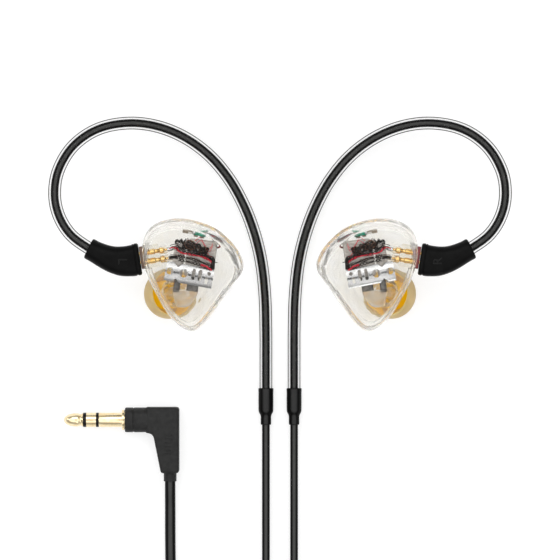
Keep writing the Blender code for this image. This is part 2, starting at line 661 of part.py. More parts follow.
def add_right_side():
    """Mirror each left-hand object and helper onto the right, under one mirroring empty."""
    mirror = add_empty("right_side", (0, 0, 0))
    mirror.scale = (-1, 1, 1)
    lefts = [o for o in bpy.context.scene.objects if o.name.startswith("left_")]
    copies = {}
    for left in lefts:
        copy = left.copy()
        copy.name = left.name.replace("left_", "right_", 1)
        bpy.context.scene.collection.objects.link(copy)
        copies[left] = copy
    for left, copy in copies.items():
        copy.parent = copies.get(left.parent, mirror)
        for modifier in copy.modifiers:
            modifier.object = copies[modifier.object]
    insert = copies[bpy.data.objects["left_plug_insert"]]
    insert.data = insert.data.copy()
    insert.data.materials[0] = material("insert_red")


# ---------------------------------------------------------------- the free cable


def coil_mesh(name, centre, outer, inner, radius):
    """The outer shape of a coil of two layers, as a turned ring."""
    high = 2 * radius + 2 * radius * LAYER_STEP
    profile = [
        (inner - radius, radius), (inner, 0), (outer, 0), (outer + radius, radius),
        (outer + radius, high - radius), (outer, high), (inner, high), (inner - radius, high - radius),
    ]  # fmt: skip
    return turned(name, profile, (*centre, 0), (0, 0, 1), COIL_SIDES, hollow=True)


def add_lead(coil, name, centre, direction, across, reach, low, high):
    """Join a straight lead-in, the width of its strands, to a coil."""
    turn = frame_along(direction)
    width = across[1] - across[0] - LEAD_INSET
    middle = Vector((*centre, (low + high) / 2)) + turn @ Vector((reach / 2, sum(across) / 2, 0))
    size = (reach, width, high - low - LEAD_INSET)
    combine(coil, helper(name, box_mesh(name, size, middle, turn)), "UNION")


def add_coils():
    """One coil for the two legs, and one for the main cable."""
    mesh = coil_mesh("leg_coil", LEG_COIL, LEG_COIL_OUTER, LEG_COIL_INNER, CORE_RADIUS)
    legs = add_object("leg_coil", mesh, "cable_black")
    outer, inner_strand = LEG_COIL_OUTER + CORE_RADIUS, LEG_COIL_OUTER - LEG_PITCH - CORE_RADIUS
    reach = LEG_LEAD
    top = 2 * CORE_RADIUS * (1 + LAYER_STEP)
    add_lead(legs, "leg_lead_in", LEG_COIL, (0, 1, 0), (inner_strand, outer), reach, 0, 1.9)
    add_lead(legs, "leg_lead_out", LEG_COIL, (-1, 0, 0), (-outer, -inner_strand), reach, 1.9, top)
    mesh = coil_mesh("main_coil", MAIN_COIL, MAIN_COIL_OUTER, MAIN_COIL_INNER, MAIN_RADIUS)
    main = add_object("main_coil", mesh, "cable_black")
    low, high = MAIN_COIL_OUTER - MAIN_RADIUS, MAIN_COIL_OUTER + MAIN_RADIUS
    reach = MAIN_LEAD
    top = 2 * MAIN_RADIUS * (1 + LAYER_STEP)
    add_lead(main, "main_lead_in", MAIN_COIL, (1, 0, 0), (low, high), reach, 0, 2.6)
    add_lead(main, "main_lead_out", MAIN_COIL, (0, 1, 0), (-high, -low), reach, 2.6, top)


def add_cables():
    for name, route, radius, step in (
        ("left_leg_cable", LEFT_LEG_ROUTE, CORE_RADIUS, 4.0),
        ("right_leg_cable", RIGHT_LEG_ROUTE, CORE_RADIUS, 4.0),
        ("left_leg_tail", LEFT_TAIL_ROUTE, CORE_RADIUS, 2.4),
        ("right_leg_tail", RIGHT_TAIL_ROUTE, CORE_RADIUS, 2.4),
        ("main_cable", MAIN_CABLE_ROUTE, MAIN_RADIUS, 2.6),
        ("plug_cable", PLUG_CABLE_ROUTE, MAIN_RADIUS, 3.6),
    ):
        cable(name, route, radius, "cable_black", step)


def add_splitter():
    """Where the two legs join the main cable: a tapered moulding."""
    middle = SPLITTER_THICK / 2
    left = (-1, 0, 0)
    stations = []
    for x, width, height in (
        (SPLITTER_RIGHT, 6.0, 3.8), (SPLITTER_RIGHT - 0.5, 6.6, SPLITTER_THICK),
        (SPLITTER_RIGHT - 6.0, 6.4, SPLITTER_THICK), (SPLITTER_RIGHT - 9.5, 5.0, SPLITTER_THICK),
        (SPLITTER_LEFT + 0.5, 4.2, 4.2), (SPLITTER_LEFT, 3.7, 3.7),
    ):  # fmt: skip
        stations.append(((x, SPLITTER_Y, middle), left, width, height, 3.0))
    add_object("y_splitter", swept_section("y_splitter", stations, 16), "boot_rubber")


def add_slider():
    """The chin slider: a bead with a hole for each leg, which it slides along."""
    stations = []
    for y, width, height in (
        (-SLIDER_LENGTH / 2, 10.6, 3.1), (-SLIDER_LENGTH / 2 + 0.4, SLIDER_WIDTH, 2 * LEG_LEVEL),
        (SLIDER_LENGTH / 2 - 0.4, SLIDER_WIDTH, 2 * LEG_LEVEL), (SLIDER_LENGTH / 2, 10.6, 3.1),
    ):  # fmt: skip
        stations.append(((0, y, 0), (0, 1, 0), width, height, 4.0))
    mesh = swept_section("chin_slider", stations, 20)
    slider = add_object("chin_slider", mesh, "boot_rubber", at=(0, SLIDER_Y, LEG_LEVEL))
    for x in (-LEG_X, LEG_X):
        ends = [(SLIDER_HOLE, -SLIDER_LENGTH), (SLIDER_HOLE, SLIDER_LENGTH)]
        mesh = turned("slider_hole", ends, (x, SLIDER_Y, LEG_LEVEL), (0, 1, 0), 12)
        combine(slider, helper(f"slider_cut_{'left' if x < 0 else 'right'}", mesh))


# ---------------------------------------------------------------- the plug


def add_plug_body():
    """A right-angled moulding: a flat-sided elbow with a round collar that holds the jack."""
    half = PLUG_THICK / 2
    corner = 0.7
    right = PLUG_X + 2.2
    outline = [
        (right, PLUG_BOTTOM + corner), (right, PLUG_TOP - corner), (right - corner, PLUG_TOP),
        (PLUG_X - 5.8, PLUG_TOP), (PLUG_X - 5.8, JACK_Y - 2.8), (PLUG_X - 4.6, JACK_Y - 3.0),
        (PLUG_X - 4.1, JACK_Y - 3.5), (PLUG_X - 2.35, PLUG_BOTTOM + corner),
        (PLUG_X - 2.0, PLUG_BOTTOM), (right - corner, PLUG_BOTTOM),
    ]  # fmt: skip
    shape = bmesh.new()
    face = shape.faces.new([shape.verts.new(Vector((x, y, 0)) * MM) for x, y in outline])
    grown = bmesh.ops.extrude_face_region(shape, geom=[face])
    top = [v for v in grown["geom"] if isinstance(v, bmesh.types.BMVert)]
    bmesh.ops.translate(shape, verts=top, vec=(0, 0, PLUG_THICK * MM))
    bmesh.ops.recalc_face_normals(shape, faces=shape.faces[:])
    rims = [e for e in shape.edges if abs(e.verts[0].co.z - e.verts[1].co.z) < 1e-7]
    bmesh.ops.bevel(shape, geom=rims, offset=0.7 * MM, segments=2, profile=0.5, affect="EDGES")
    mesh = bpy.data.meshes.new("plug_body")
    shape.to_mesh(mesh)
    shape.free()
    body = add_object("plug_body", mesh, "plug_black")
    ends = [(2.75, 5.0), (2.75, 10.7), (2.55, 10.9)]
    collar = turned("collar", ends, (PLUG_X, JACK_Y, half), (-1, 0, 0), 20)
    combine(body, helper("plug_collar", collar), "UNION")
    ends = [(2.05, -1.0), (2.05, 3.4)]
    hole = turned("jack_hole", ends, (JACK_SHOULDER, JACK_Y, half), (1, 0, 0), 16)
    combine(body, helper("jack_hole", hole))


def add_jack():
    """The four pieces of the stereo plug, along the line that it goes into its socket on."""
    r = JACK_RADIUS
    parts = {
        "jack_sleeve": ("gold_plate", [
            (1.15, -3.0), (1.95, -3.0), (1.95, 0.1), (2.45, 0.1), (2.45, 0.7), (r, 0.7), (r, 6.3),
            (1.15, 6.3)]),
        "jack_insulator": ("jack_black", [
            (0.6, -3.0), (1.05, -3.0), (1.05, 6.35), (r, 6.35), (r, 6.9), (1.05, 6.9), (1.05, 9.35),
            (r, 9.35), (r, 10.0), (0.6, 10.0)]),
        "jack_ring": ("gold_plate", [(1.15, 6.95), (r, 6.95), (r, 9.3), (1.15, 9.3)]),
    }  # fmt: skip
    origin = (JACK_SHOULDER, JACK_Y, PLUG_THICK / 2)
    for name, (colour, profile) in parts.items():
        mesh = turned(name, profile, origin, (-1, 0, 0), JACK_SIDES, hollow=True)
        add_object(name, mesh, colour)
    tip = [(0.5, -2.8), (0.5, 10.05), (1.6, 10.05), (1.6, 10.3), (1.1, 10.7), (1.15, 10.9), (1.6, 11.5),
           (1.6, 12.9), (1.3, 13.9), (0.45, 14.7)]  # fmt: skip
    add_object("jack_tip", turned("jack_tip", tip, origin, (-1, 0, 0), JACK_SIDES), "gold_plate")


def main():
    for old in list(bpy.data.objects):
        bpy.data.objects.remove(old)
    shell_height = add_earpiece()
    add_plug_end(shell_height)
    add_hook()
    add_sleeve()
    add_right_side()
    add_cables()
    add_coils()
    add_splitter()
    add_slider()
    add_plug_body()
    add_jack()


main()
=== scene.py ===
"""Clear in-ear monitors and their cable on a pale table, seen from straight above.

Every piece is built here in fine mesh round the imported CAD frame, in the frame's own axes.
Points and sizes are in millimetres and meshes are written in metres. Whatever comes in pairs
is built for the left ear and mirrored in X for the right one.
"""

import json
import math
import random
from functools import partial

import bmesh
import bpy
from mathutils import Matrix, Quaternion, Vector
from mathutils.geometry import interpolate_bezier


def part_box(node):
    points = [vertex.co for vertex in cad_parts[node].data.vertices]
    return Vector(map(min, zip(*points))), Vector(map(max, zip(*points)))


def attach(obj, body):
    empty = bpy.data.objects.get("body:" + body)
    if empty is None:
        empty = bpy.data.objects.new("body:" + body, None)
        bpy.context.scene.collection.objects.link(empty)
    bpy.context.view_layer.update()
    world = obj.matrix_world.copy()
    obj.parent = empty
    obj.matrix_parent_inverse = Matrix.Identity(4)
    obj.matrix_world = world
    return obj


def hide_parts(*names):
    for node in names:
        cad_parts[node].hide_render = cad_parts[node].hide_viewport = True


MM = 0.001
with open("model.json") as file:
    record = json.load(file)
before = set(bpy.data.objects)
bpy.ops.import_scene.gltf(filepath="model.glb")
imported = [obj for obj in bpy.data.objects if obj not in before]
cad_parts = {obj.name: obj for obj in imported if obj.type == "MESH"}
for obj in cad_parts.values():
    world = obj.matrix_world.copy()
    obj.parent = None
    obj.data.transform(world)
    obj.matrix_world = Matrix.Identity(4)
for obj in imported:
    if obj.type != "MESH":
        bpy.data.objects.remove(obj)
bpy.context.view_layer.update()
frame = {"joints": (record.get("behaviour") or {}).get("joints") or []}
SIDES = ("left", "right")

# The picture's framing: how wide it is and where its middle lies, at the level of the shells.
VIEW_WIDTH, VIEW_MIDDLE_Y, VIEW_LEVEL = 134.4, -2.16, 8.0
CAMERA_HEIGHT, SENSOR = 1000.0, 36.0

# Cables. These routes are the CAD's own, in millimetres.
CORE, MAIN = 0.95, 1.3
LEG_X = 3.4
STRAIGHT_YS = (-36.0, -40.0, -52.0, -68.0, -82.0)
LEG_ROUTES = {
    "left": [(-LEG_X, y, 1.84) for y in STRAIGHT_YS] + [
        (-2.9, -86.0, 1.4), (-1.5, -89.8, 1.0), (1.0, -93.2, 0.98), (2.6, -95.3, 0.98),
        (2.85, -97.4, 0.97), (2.85, -102.0, 0.96)],
    "right": [(LEG_X, y, 1.84) for y in STRAIGHT_YS] + [
        (3.5, -86.0, 1.4), (3.8, -89.8, 1.0), (4.45, -93.2, 0.98), (4.78, -95.3, 0.98),
        (4.8, -97.4, 0.97), (4.8, -102.0, 0.96)],
}  # fmt: skip
TAIL_ROUTES = {
    "left": [
        (10.0, -95.3, 2.87), (6.6, -95.32, 2.95), (5.0, -95.32, 3.2), (2.5, -95.32, 3.25),
        (0.0, -95.36, 3.15), (-2.2, -95.4, 2.6), (-4.2, -95.4, 2.2), (-6.0, -95.4, 2.2)],
    "right": [
        (10.0, -93.35, 2.87), (6.6, -93.32, 2.95), (5.0, -93.32, 3.2), (2.5, -93.32, 3.25),
        (0.0, -93.28, 3.15), (-2.2, -93.24, 2.6), (-4.2, -93.2, 2.2), (-6.0, -93.2, 2.2)],
}  # fmt: skip
MAIN_START_ROUTE = [
    (-17.6, -94.3, 2.2), (-18.9, -94.3, 2.15), (-19.8, -94.3, 2.05), (-21.4, -94.3, 1.55),
    (-23.2, -94.3, 1.34), (-26.0, -94.3, 1.32), (-30.4, -94.3, 1.32), (-36.0, -94.3, 1.3),
]  # fmt: skip
PLUG_CABLE_ROUTE = [
    (-21.9, -108.0, 3.93), (-21.9, -102.7, 3.95), (-22.1, -98.5, 4.2), (-22.7, -94.3, 4.25),
    (-23.7, -89.0, 3.7), (-25.0, -83.0, 2.6), (-26.0, -77.0, 1.8), (-26.4, -71.0, 1.4),
    (-26.5, -64.0, 1.4), (-26.5, -57.0, 1.9), (-26.5, -52.5, 2.6), (-26.5, -48.0, 2.8),
]  # fmt: skip
LEG_COIL, LEG_COIL_OUTER, LEG_PITCH, LEG_TURNS = (17.5, -108.0), 14.65, 1.95, 2.75
MAIN_COIL, MAIN_COIL_OUTER, MAIN_PITCH, MAIN_TURNS = (-42.0, -114.4), 20.1, 2.65, 7.75
LAYER_STEP = 1.01  # height of the second layer over the first, in diameters
SPLITTER_RIGHT, SPLITTER_LEFT, SPLITTER_Y, SPLITTER_THICK = -4.5, -18.5, -94.3, 4.4
SLIDER_Y, SLIDER_LENGTH, SLIDER_WIDTH = -79.0, 7.0, 11.4
PLUG_X, PLUG_TOP, PLUG_BOTTOM, PLUG_THICK = -26.5, -32.8, -48.7, 5.6
JACK_Y, JACK_SHOULDER, JACK_RADIUS = -35.9, -37.4, 1.75

# Ear hook, left side.
HOOK_ROUTE = [
    (-42.6, 3.85, 13.5), (-45.1, 5.1, 13.5), (-50.0, 8.7, 13.2), (-52.9, 13.4, 12.6),
    (-53.9, 18.6, 11.8), (-53.0, 24.2, 10.8), (-49.6, 29.9, 9.6), (-44.0, 33.9, 8.4),
    (-37.0, 35.5, 7.2), (-30.0, 34.9, 6.0), (-23.2, 32.3, 4.9), (-17.2, 28.0, 4.0),
    (-12.4, 22.4, 3.2), (-8.8, 16.0, 2.6), (-6.2, 9.2, 2.2), (-4.5, 2.0, 1.95),
    (-3.65, -6.0, 1.86), (-3.42, -14.0, 1.84), (-3.4, -22.0, 1.84), (-3.4, -29.0, 1.84),
    (-3.4, -36.8, 1.84),
]  # fmt: skip
HOOK_TUBE, HOOK_BORE, HOOK_END_Y = 1.55, 1.2, -33.3
SLEEVE_TOP_Y, SLEEVE_LENGTH, SLEEVE_RADIUS = -28.3, 8.8, 1.84

# Shell, measured from its middle: the outline's angle in degrees and radius.
SHELL_OUTLINE = [
    (0, 11.95), (10, 12.6), (20, 12.45), (40, 12.0), (60, 12.05), (80, 12.3), (100, 13.15),
    (115, 14.0), (130, 14.6), (142, 14.2), (155, 13.1), (168, 11.8), (182, 10.7), (198, 10.05),
    (213, 9.92), (230, 10.6), (246, 11.85), (258, 13.1), (270, 13.97), (278, 13.4),
    (290, 11.8), (305, 10.35), (320, 9.8), (337, 9.98), (350, 10.85),
]  # fmt: skip
SEAM_HEIGHT, PLATE_TOP = 3.0, 4.5
PLATE_SHIFT = Vector((-0.5, -0.8, 0.0))
NOZZLE_ROOT = Vector((-3.7, -4.6, -4.4))
NOZZLE_RADIUS, SOUND_BORE = 2.45, 1.5


def joint_axis(name):
    return Vector(next(j["axis"] for j in frame["joints"] if j["name"] == name)).normalized()


def box_mm(node):
    low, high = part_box(node)
    return low / MM, high / MM


NOZZLE_DIRECTION = joint_axis("left_eartip_pull")
PIN_DIRECTION = joint_axis("left_two_pin_pull")
SHELL_MIDDLE = Vector((-21.1, -0.45, box_mm("left_faceplate")[1].z - PLATE_TOP))
CONNECTOR = Vector((-33.4, 3.1, SHELL_MIDDLE.z - 0.3))
PIN_PITCH = 2.1


# ---------------------------------------------------------------- shapes


def circle(centre, turn, radius, sides, along=0.0):
    """A ring of points about the local X of a turn, that far along it."""
    angles = (2 * math.pi * i / sides for i in range(sides))
    return [centre + turn @ Vector((along, radius * math.cos(a), radius * math.sin(a))) for a in angles]


class Shape:
    """Points in millimetres and faces, gathered from several simple forms."""

    def __init__(self):
        self.points, self.faces = [], []

    def rings(self, rings, loop=False):
        """Join rings of points into a skin: capped at its ends, or closed on itself."""
        start, sides, count = len(self.points), len(rings[0]), len(rings)
        self.points += [tuple(p) for ring in rings for p in ring]
        for k in range(count if loop else count - 1):
            a, b = start + k * sides, start + (k + 1) % count * sides
            for i in range(sides):
                j = (i + 1) % sides
                self.faces.append((a + i, a + j, b + j, b + i))
        if not loop:
            self.faces.append(tuple(range(start + sides - 1, start - 1, -1)))
            last = start + (count - 1) * sides
            self.faces.append(tuple(range(last, last + sides)))
        return self

    def turned(self, profile, origin, direction, sides, loop=False):
        """A turned form from (radius, distance along the axis) pairs."""
        turn = frame_along(direction)
        return self.rings([circle(Vector(origin), turn, r, sides, along) for r, along in profile], loop)

    def tube(self, points, radius, sides):
        """A round bar along points."""
        turns = frames_along(points)
        return self.rings([circle(p, turn, radius, sides) for p, turn in zip(points, turns)])

    def swept(self, stations, sides=40):
        """A form through stations of (centre, direction, width, height, power)."""
        rings = []
        for centre, direction, width, height, power in stations:
            turn = frame_along(direction)
            section = rounded_section(width, height, sides, power)
            rings.append([Vector(centre) + turn @ Vector((0, y, z)) for y, z in section])
        return self.rings(rings)

    def block(self, size, centre, turn, rim=0.1, power=8, sides=40):
        """A box with rounded corners and a small chamfer, turned from lying flat."""
        rings = []
        for z, inset in ((-0.5, 1), (-0.5, 0.3), (-0.5, 0), (0.5, 0), (0.5, 0.3), (0.5, 1)):
            level = z * size[2] - math.copysign(rim * (1 - inset), z)
            section = rounded_section(size[0] - 2 * rim * inset, size[1] - 2 * rim * inset, sides, power)
            rings.append([Vector(centre) + turn @ Vector((x, y, level)) for x, y in section])
        return self.rings(rings)

    def joined(self, more):
        """Take in another shape's points and faces."""
        start = len(self.points)
        self.points += more.points
        self.faces += [tuple(i + start for i in face) for face in more.faces]
        return self


def spun(degrees):
    """A turn about the vertical."""
    return Matrix.Rotation(math.radians(degrees), 3, "Z")


def frame_along(direction):
    """Rotation whose local X is the direction and whose local Z leans upwards."""
    x = Vector(direction).normalized()
    up = Vector((0, 0, 1)) if abs(x.z) < 0.999 else Vector((0, 1, 0))
    y = up.cross(x).normalized()
    return Matrix((x, y, x.cross(y))).transposed()


def frames_along(points):
    """A rotation at each point of a line, turning as little as it can from one to the next."""
    turns, turn = [], None
    for i in range(len(points)):
        ahead = (points[min(i + 1, len(points) - 1)] - points[max(i - 1, 0)]).normalized()
        if turn is None:
            turn = frame_along(ahead)
        else:
            turn = turn.col[0].rotation_difference(ahead).to_matrix() @ turn
        turns.append(turn)
    return turns


CURVE_STEPS = 32  # how many short lines stand for the curve between two points of a route


def smooth_route(points, step):
    """Points about step apart on one smooth curve through the route's own points."""
    points = [Vector(p) for p in points]
    tangents = [(b - a) / 2 for a, b in zip([points[0], *points[:-1]], [*points[1:], points[-1]])]
    dense = []
    for i in range(len(points) - 1):
        a, b = points[i], points[i + 1]
        third = (b - a).length / 3
        lead, tail = tangents[i].normalized() * third, tangents[i + 1].normalized() * third
        dense += interpolate_bezier(a, a + lead, b - tail, b, CURVE_STEPS)[:-1]
    dense.append(points[-1])
    return evenly(dense, step)


def evenly(dense, step):
    """Points about step apart along a line of many short ones, from its first to its last."""
    lengths = [0.0]
    for a, b in zip(dense, dense[1:]):
        lengths.append(lengths[-1] + (b - a).length)
    count = max(3, round(lengths[-1] / step) + 1)
    spaced, k = [], 0
    for i in range(count):
        target = lengths[-1] * i / (count - 1)
        while k < len(dense) - 2 and lengths[k + 1] < target:
            k += 1
        share = (target - lengths[k]) / max(lengths[k + 1] - lengths[k], 1e-9)
        spaced.append(dense[k].lerp(dense[k + 1], min(share, 1.0)))
    return spaced


def hermite(start, end, slope_in, slope_out, t):
    """A smooth value from start to end, with the slopes given, at a share t of the way."""
    rise = t * t * (3 - 2 * t)
    return start + (end - start) * rise + slope_in * t * (1 - t) ** 2 - slope_out * t * t * (1 - t)


def between(rows, fine):
    """Rows of numbers made finer, each column along a smooth line through its own values."""
    out = []
    for k in range(len(rows) - 1):
        r0, r1, r2, r3 = rows[max(k - 1, 0)], rows[k], rows[k + 1], rows[min(k + 2, len(rows) - 1)]
        for i in range(fine):
            out.append([
                hermite(b, c, (c - a) / 2, (d - b) / 2, i / fine) for a, b, c, d in zip(r0, r1, r2, r3)
            ])  # fmt: skip
    out.append(list(rows[-1]))
    return out


def softened(profile, rounds=2):
    """A closed profile with its corners cut round."""
    for _ in range(rounds):
        cut = []
        for (a0, a1), (b0, b1) in zip(profile, profile[1:] + profile[:1]):
            cut.append((0.75 * a0 + 0.25 * b0, 0.75 * a1 + 0.25 * b1))
            cut.append((0.25 * a0 + 0.75 * b0, 0.25 * a1 + 0.75 * b1))
        profile = cut
    return profile


def rounded_section(width, height, sides, power):
    """A superellipse: a power of 2 is an ellipse, and more squares it off."""
    points = []
    for i in range(sides):
        a = 2 * math.pi * i / sides
        c, s = math.cos(a), math.sin(a)
        points.append((
            width / 2 * math.copysign(abs(c) ** (2 / power), c),
            height / 2 * math.copysign(abs(s) ** (2 / power), s),
        ))  # fmt: skip
    return points


def stations_between(rows, fine):
    """Stations for a swept form made finer, on smooth lines through the ones given."""
    flat = [[*centre, *Vector(direction).normalized(), *size] for centre, direction, *size in rows]
    return [(Vector(r[:3]), Vector(r[3:6]), *r[6:]) for r in between(flat, fine)]


def linked(name, data):
    """A new object in the scene."""
    made = bpy.data.objects.new(name, data)
    bpy.context.scene.collection.objects.link(made)
    return made


def piece(name, shape, look, side="left", crisp=35, bevel=0.0):
    """An object from a shape, mirrored if it is for the right ear."""
    flip = -1 if side == "right" else 1
    mesh = bpy.data.meshes.new(name)
    mesh.from_pydata([(p[0] * MM * flip, p[1] * MM, p[2] * MM) for p in shape.points], [], shape.faces)
    tidy = bmesh.new()
    tidy.from_mesh(mesh)
    bmesh.ops.recalc_face_normals(tidy, faces=tidy.faces[:])
    tidy.to_mesh(mesh)
    tidy.free()
    mesh.shade_smooth()
    mesh.set_sharp_from_angle(angle=math.radians(crisp))
    mesh.materials.append(LOOKS[look])
    made = linked(name, mesh)
    if bevel:
        edge = made.modifiers.new("edges", "BEVEL")
        edge.width, edge.segments, edge.limit_method = bevel * MM, 3, "ANGLE"
        edge.angle_limit = math.radians(crisp)
        edge.harden_normals = True
    return made


def place(made, body, slot, *nodes):
    """Tie a piece to its CAD body and hide the CAD nodes that it stands for. The material slot is not used.
    """
    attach(made, body)
    if nodes:
        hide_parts(*nodes)
    return made


def pair(name, build, look, body, slot, node="", **finish):
    """The same piece for both ears, standing for each side's CAD node of that name, if any."""
    for side in SIDES:
        own_body = f"{side}_{body}" if body in ("earpiece", "eartip") else body
        nodes = [f"{side}_{node}"] if node else []
        place(piece(f"{side}_{name}", build(), look, side, **finish), own_body, slot, *nodes)



# ---------------------------------------------------------------- materials


def new_look(name):
    made = bpy.data.materials.new(name)
    made.use_nodes = True
    tree = made.node_tree
    return made, tree, tree.nodes["Principled BSDF"]


def fill(tree, made, **inputs):
    """Set a node's inputs: link another node's output, or set a plain value."""
    for key, value in inputs.items():
        socket = made.inputs[key.replace("_", " ")]
        if isinstance(value, bpy.types.NodeSocket):
            tree.links.new(value, socket)
        else:
            socket.default_value = value


def add_node(tree, kind, **inputs):
    made = tree.nodes.new(f"ShaderNode{kind}")
    fill(tree, made, **inputs)
    return made


def noise(tree, per_mm, detail=2.0, stretch=(1, 1, 1)):
    """Noise fixed to the piece, with that many features in a millimetre."""
    where = add_node(tree, "TexCoord").outputs["Object"]
    scaled = add_node(tree, "Mapping", Vector=where, Scale=[per_mm / MM * s for s in stretch])
    made = add_node(tree, "TexNoise", Vector=scaled.outputs["Vector"], Scale=1.0, Detail=detail)
    return made.outputs["Fac"]


def spread(tree, value, low, high, span=(0.3, 0.7), steps="LINEAR"):
    """A value's span spread from low to high. The span given here is that of most noise."""
    made = add_node(tree, "MapRange", Value=value, To_Min=low, To_Max=high)
    fill(tree, made, From_Min=span[0], From_Max=span[1])
    made.interpolation_type = steps
    return made.outputs["Result"]


def colour(tone):
    """A grey from one number or a colour from three, fully opaque."""
    return (*tone, 1) if isinstance(tone, tuple) else (tone, tone, tone, 1)


def blend(tree, factor, first, second):
    made = tree.nodes.new("ShaderNodeMix")
    made.data_type = "RGBA"
    fill(tree, made, Factor=factor, A=first, B=second)
    return made.outputs["Result"]


def two_tone(tree, value, dark, light):
    return blend(tree, spread(tree, value, 0, 1), colour(dark), colour(light))


def mixed(tree, factor, first, second):
    """One surface with some of another."""
    made = add_node(tree, "MixShader", Fac=factor)
    tree.links.new(first, made.inputs[1])
    tree.links.new(second, made.inputs[2])
    return made.outputs["Shader"]


def show(tree, surface):
    tree.links.new(surface, tree.nodes["Material Output"].inputs["Surface"])


def bump(tree, shader, value, depth):
    made = add_node(tree, "Bump", Strength=1.0, Distance=depth * MM, Height=value)
    fill(tree, shader, Normal=made.outputs["Normal"])


FINER_GLOSS = 2.3  # how much smaller the patches of gloss are than the patches of tone


def solid(name, dark, light, rough, patch, grain, depth, stretch, metallic, specular):
    """An opaque finish: two close tones in patches, uneven gloss, and a fine grain."""
    made, tree, shader = new_look(name)
    fill(tree, shader, Base_Color=two_tone(tree, noise(tree, patch, 3, stretch), dark, light),
         Roughness=spread(tree, noise(tree, patch * FINER_GLOSS, 3, stretch), *rough), Metallic=metallic,
         Specular_IOR_Level=specular)  # fmt: skip
    if grain:
        bump(tree, shader, noise(tree, grain, 3, stretch), depth)
    return made


def clear(name, tint, rough, ior, ripple=0.0, veil=0.0, veil_tint=(1.0, 0.98, 0.94), warm=None):
    """Clear plastic that lets the lamps through to what is inside it. veil is a faint haze, and
    warm a second tint in patches."""
    made, tree, shader = new_look(name)
    fill(tree, shader, Base_Color=two_tone(tree, noise(tree, 0.3), warm or tint, tint),
         Roughness=rough, IOR=ior, Transmission_Weight=1.0)  # fmt: skip
    if ripple:
        bump(tree, shader, noise(tree, 0.4, 1, (1.0, 0.35, 1.0)), ripple)
    surface = shader.outputs["BSDF"]
    if veil:
        haze = add_node(tree, "BsdfTranslucent", Color=colour(veil_tint))
        surface = mixed(tree, veil, surface, haze.outputs["BSDF"])
    path = add_node(tree, "LightPath")
    gap = add_node(tree, "BsdfTransparent", Color=(*(0.5 + 0.5 * c for c in tint), 1))
    show(tree, mixed(tree, path.outputs["Is Shadow Ray"], surface, gap.outputs["BSDF"]))
    return made


def black_with_painted_highlight(name, dark, painted_highlight, width, rough, specular):
    """A black jacket with a painted highlight: its colour is lighter along the part that faces the eye,
    standing in for a soft line of gloss.
    """
    made, tree, shader = new_look(name)
    facing = add_node(tree, "LayerWeight", Blend=0.5).outputs["Facing"]
    across = spread(tree, facing, 0, 1, (0, width), "SMOOTHSTEP")
    # Painted highlight: the lighter tone, in patches, that the middle of the jacket takes where it faces
    # the eye.
    lit = two_tone(tree, noise(tree, 0.3, 3), painted_highlight, tuple(1.15 * c for c in painted_highlight))
    fill(tree, shader, Base_Color=blend(tree, across, lit, colour(dark)),
         Roughness=spread(tree, noise(tree, 0.7, 3), *rough), Specular_IOR_Level=specular)  # fmt: skip
    bump(tree, shader, noise(tree, 4.0, 3), 0.004)
    return made


def silicone(name, deep, pale, through, painted_glow):
    """Soft translucent silicone: light scatters in it and some comes through. Its glow is painted light, an
    emission in the pale tone that stands in for light that has crossed the wall many times."""
    made, tree, shader = new_look(name)
    # The emission in the pale tone is a painted glow.
    fill(tree, shader, Base_Color=two_tone(tree, noise(tree, 0.35), deep, pale), Roughness=0.38,
         Subsurface_Weight=0.3, Subsurface_Radius=(1.0, 0.7, 0.35), Subsurface_Scale=1.2 * MM,
         Emission_Color=colour(pale), Emission_Strength=painted_glow)  # fmt: skip
    bump(tree, shader, noise(tree, 4.0), 0.006)
    soft = add_node(tree, "BsdfTranslucent", Color=colour(pale))
    show(tree, mixed(tree, through, shader.outputs["BSDF"], soft.outputs["BSDF"]))
    return made


def thin_clear(name, outline):
    """The hook's thin tube: see-through, with a painted outline of shade, a near-black colour that turns
    opaque where the tube is seen edge on.
    """
    made, tree, shader = new_look(name)
    edge = add_node(tree, "LayerWeight", Blend=0.5).outputs["Facing"]
    # Painted shade: the near-black colour shows only where the tube is seen edge on.
    painted_outline_cover = spread(tree, edge, 0.03, outline, (0.44, 0.52))
    fill(tree, shader, Base_Color=colour(0.03), Roughness=0.08, Specular_IOR_Level=0.15, Alpha=painted_outline_cover)
    return made


LOOKS = {
    "shell": clear("clear_shell", (0.97, 0.965, 0.95), 0.0, 1.45, 0.25, 0.12, (0.97, 0.96, 0.93),
                   (0.975, 0.945, 0.87)),
    "plate": clear("clear_faceplate", (0.97, 0.97, 0.965), 0.0, 1.45),
    "block": clear("clear_socket_block", (0.97, 0.95, 0.9), 0.04, 1.35),
    "frosted": clear("frosted_tube", (0.98, 0.97, 0.95), 0.25, 1.15, veil=0.3),
    # The hook tube's outline is painted shade; its bore takes only a faint one.
    "tube": thin_clear("clear_hook_tube", 1.0),
    "bore": thin_clear("clear_tube_bore", 0.05),
    # The last number of each silicone is its painted glow, an emission standing in for light let through.
    "amber": silicone("amber_silicone", (0.9, 0.62, 0.006), (0.96, 0.75, 0.02), 0.6, 0.3),
    "cream": silicone("cream_silicone", (0.6, 0.5, 0.25), (0.76, 0.65, 0.36), 0.45, 0.06),
    # The cable and sleeve jackets carry a painted highlight, a lighter colour where they face the eye.
    "cable": black_with_painted_highlight("cable_jacket", 0.001, (0.055, 0.055, 0.053), 0.16, (0.22, 0.3), 0.1),
    "sleeve": black_with_painted_highlight("shrink_sleeve", 0.001, (0.03, 0.03, 0.03), 0.16, (0.3, 0.4), 0.08),
}  # fmt: skip
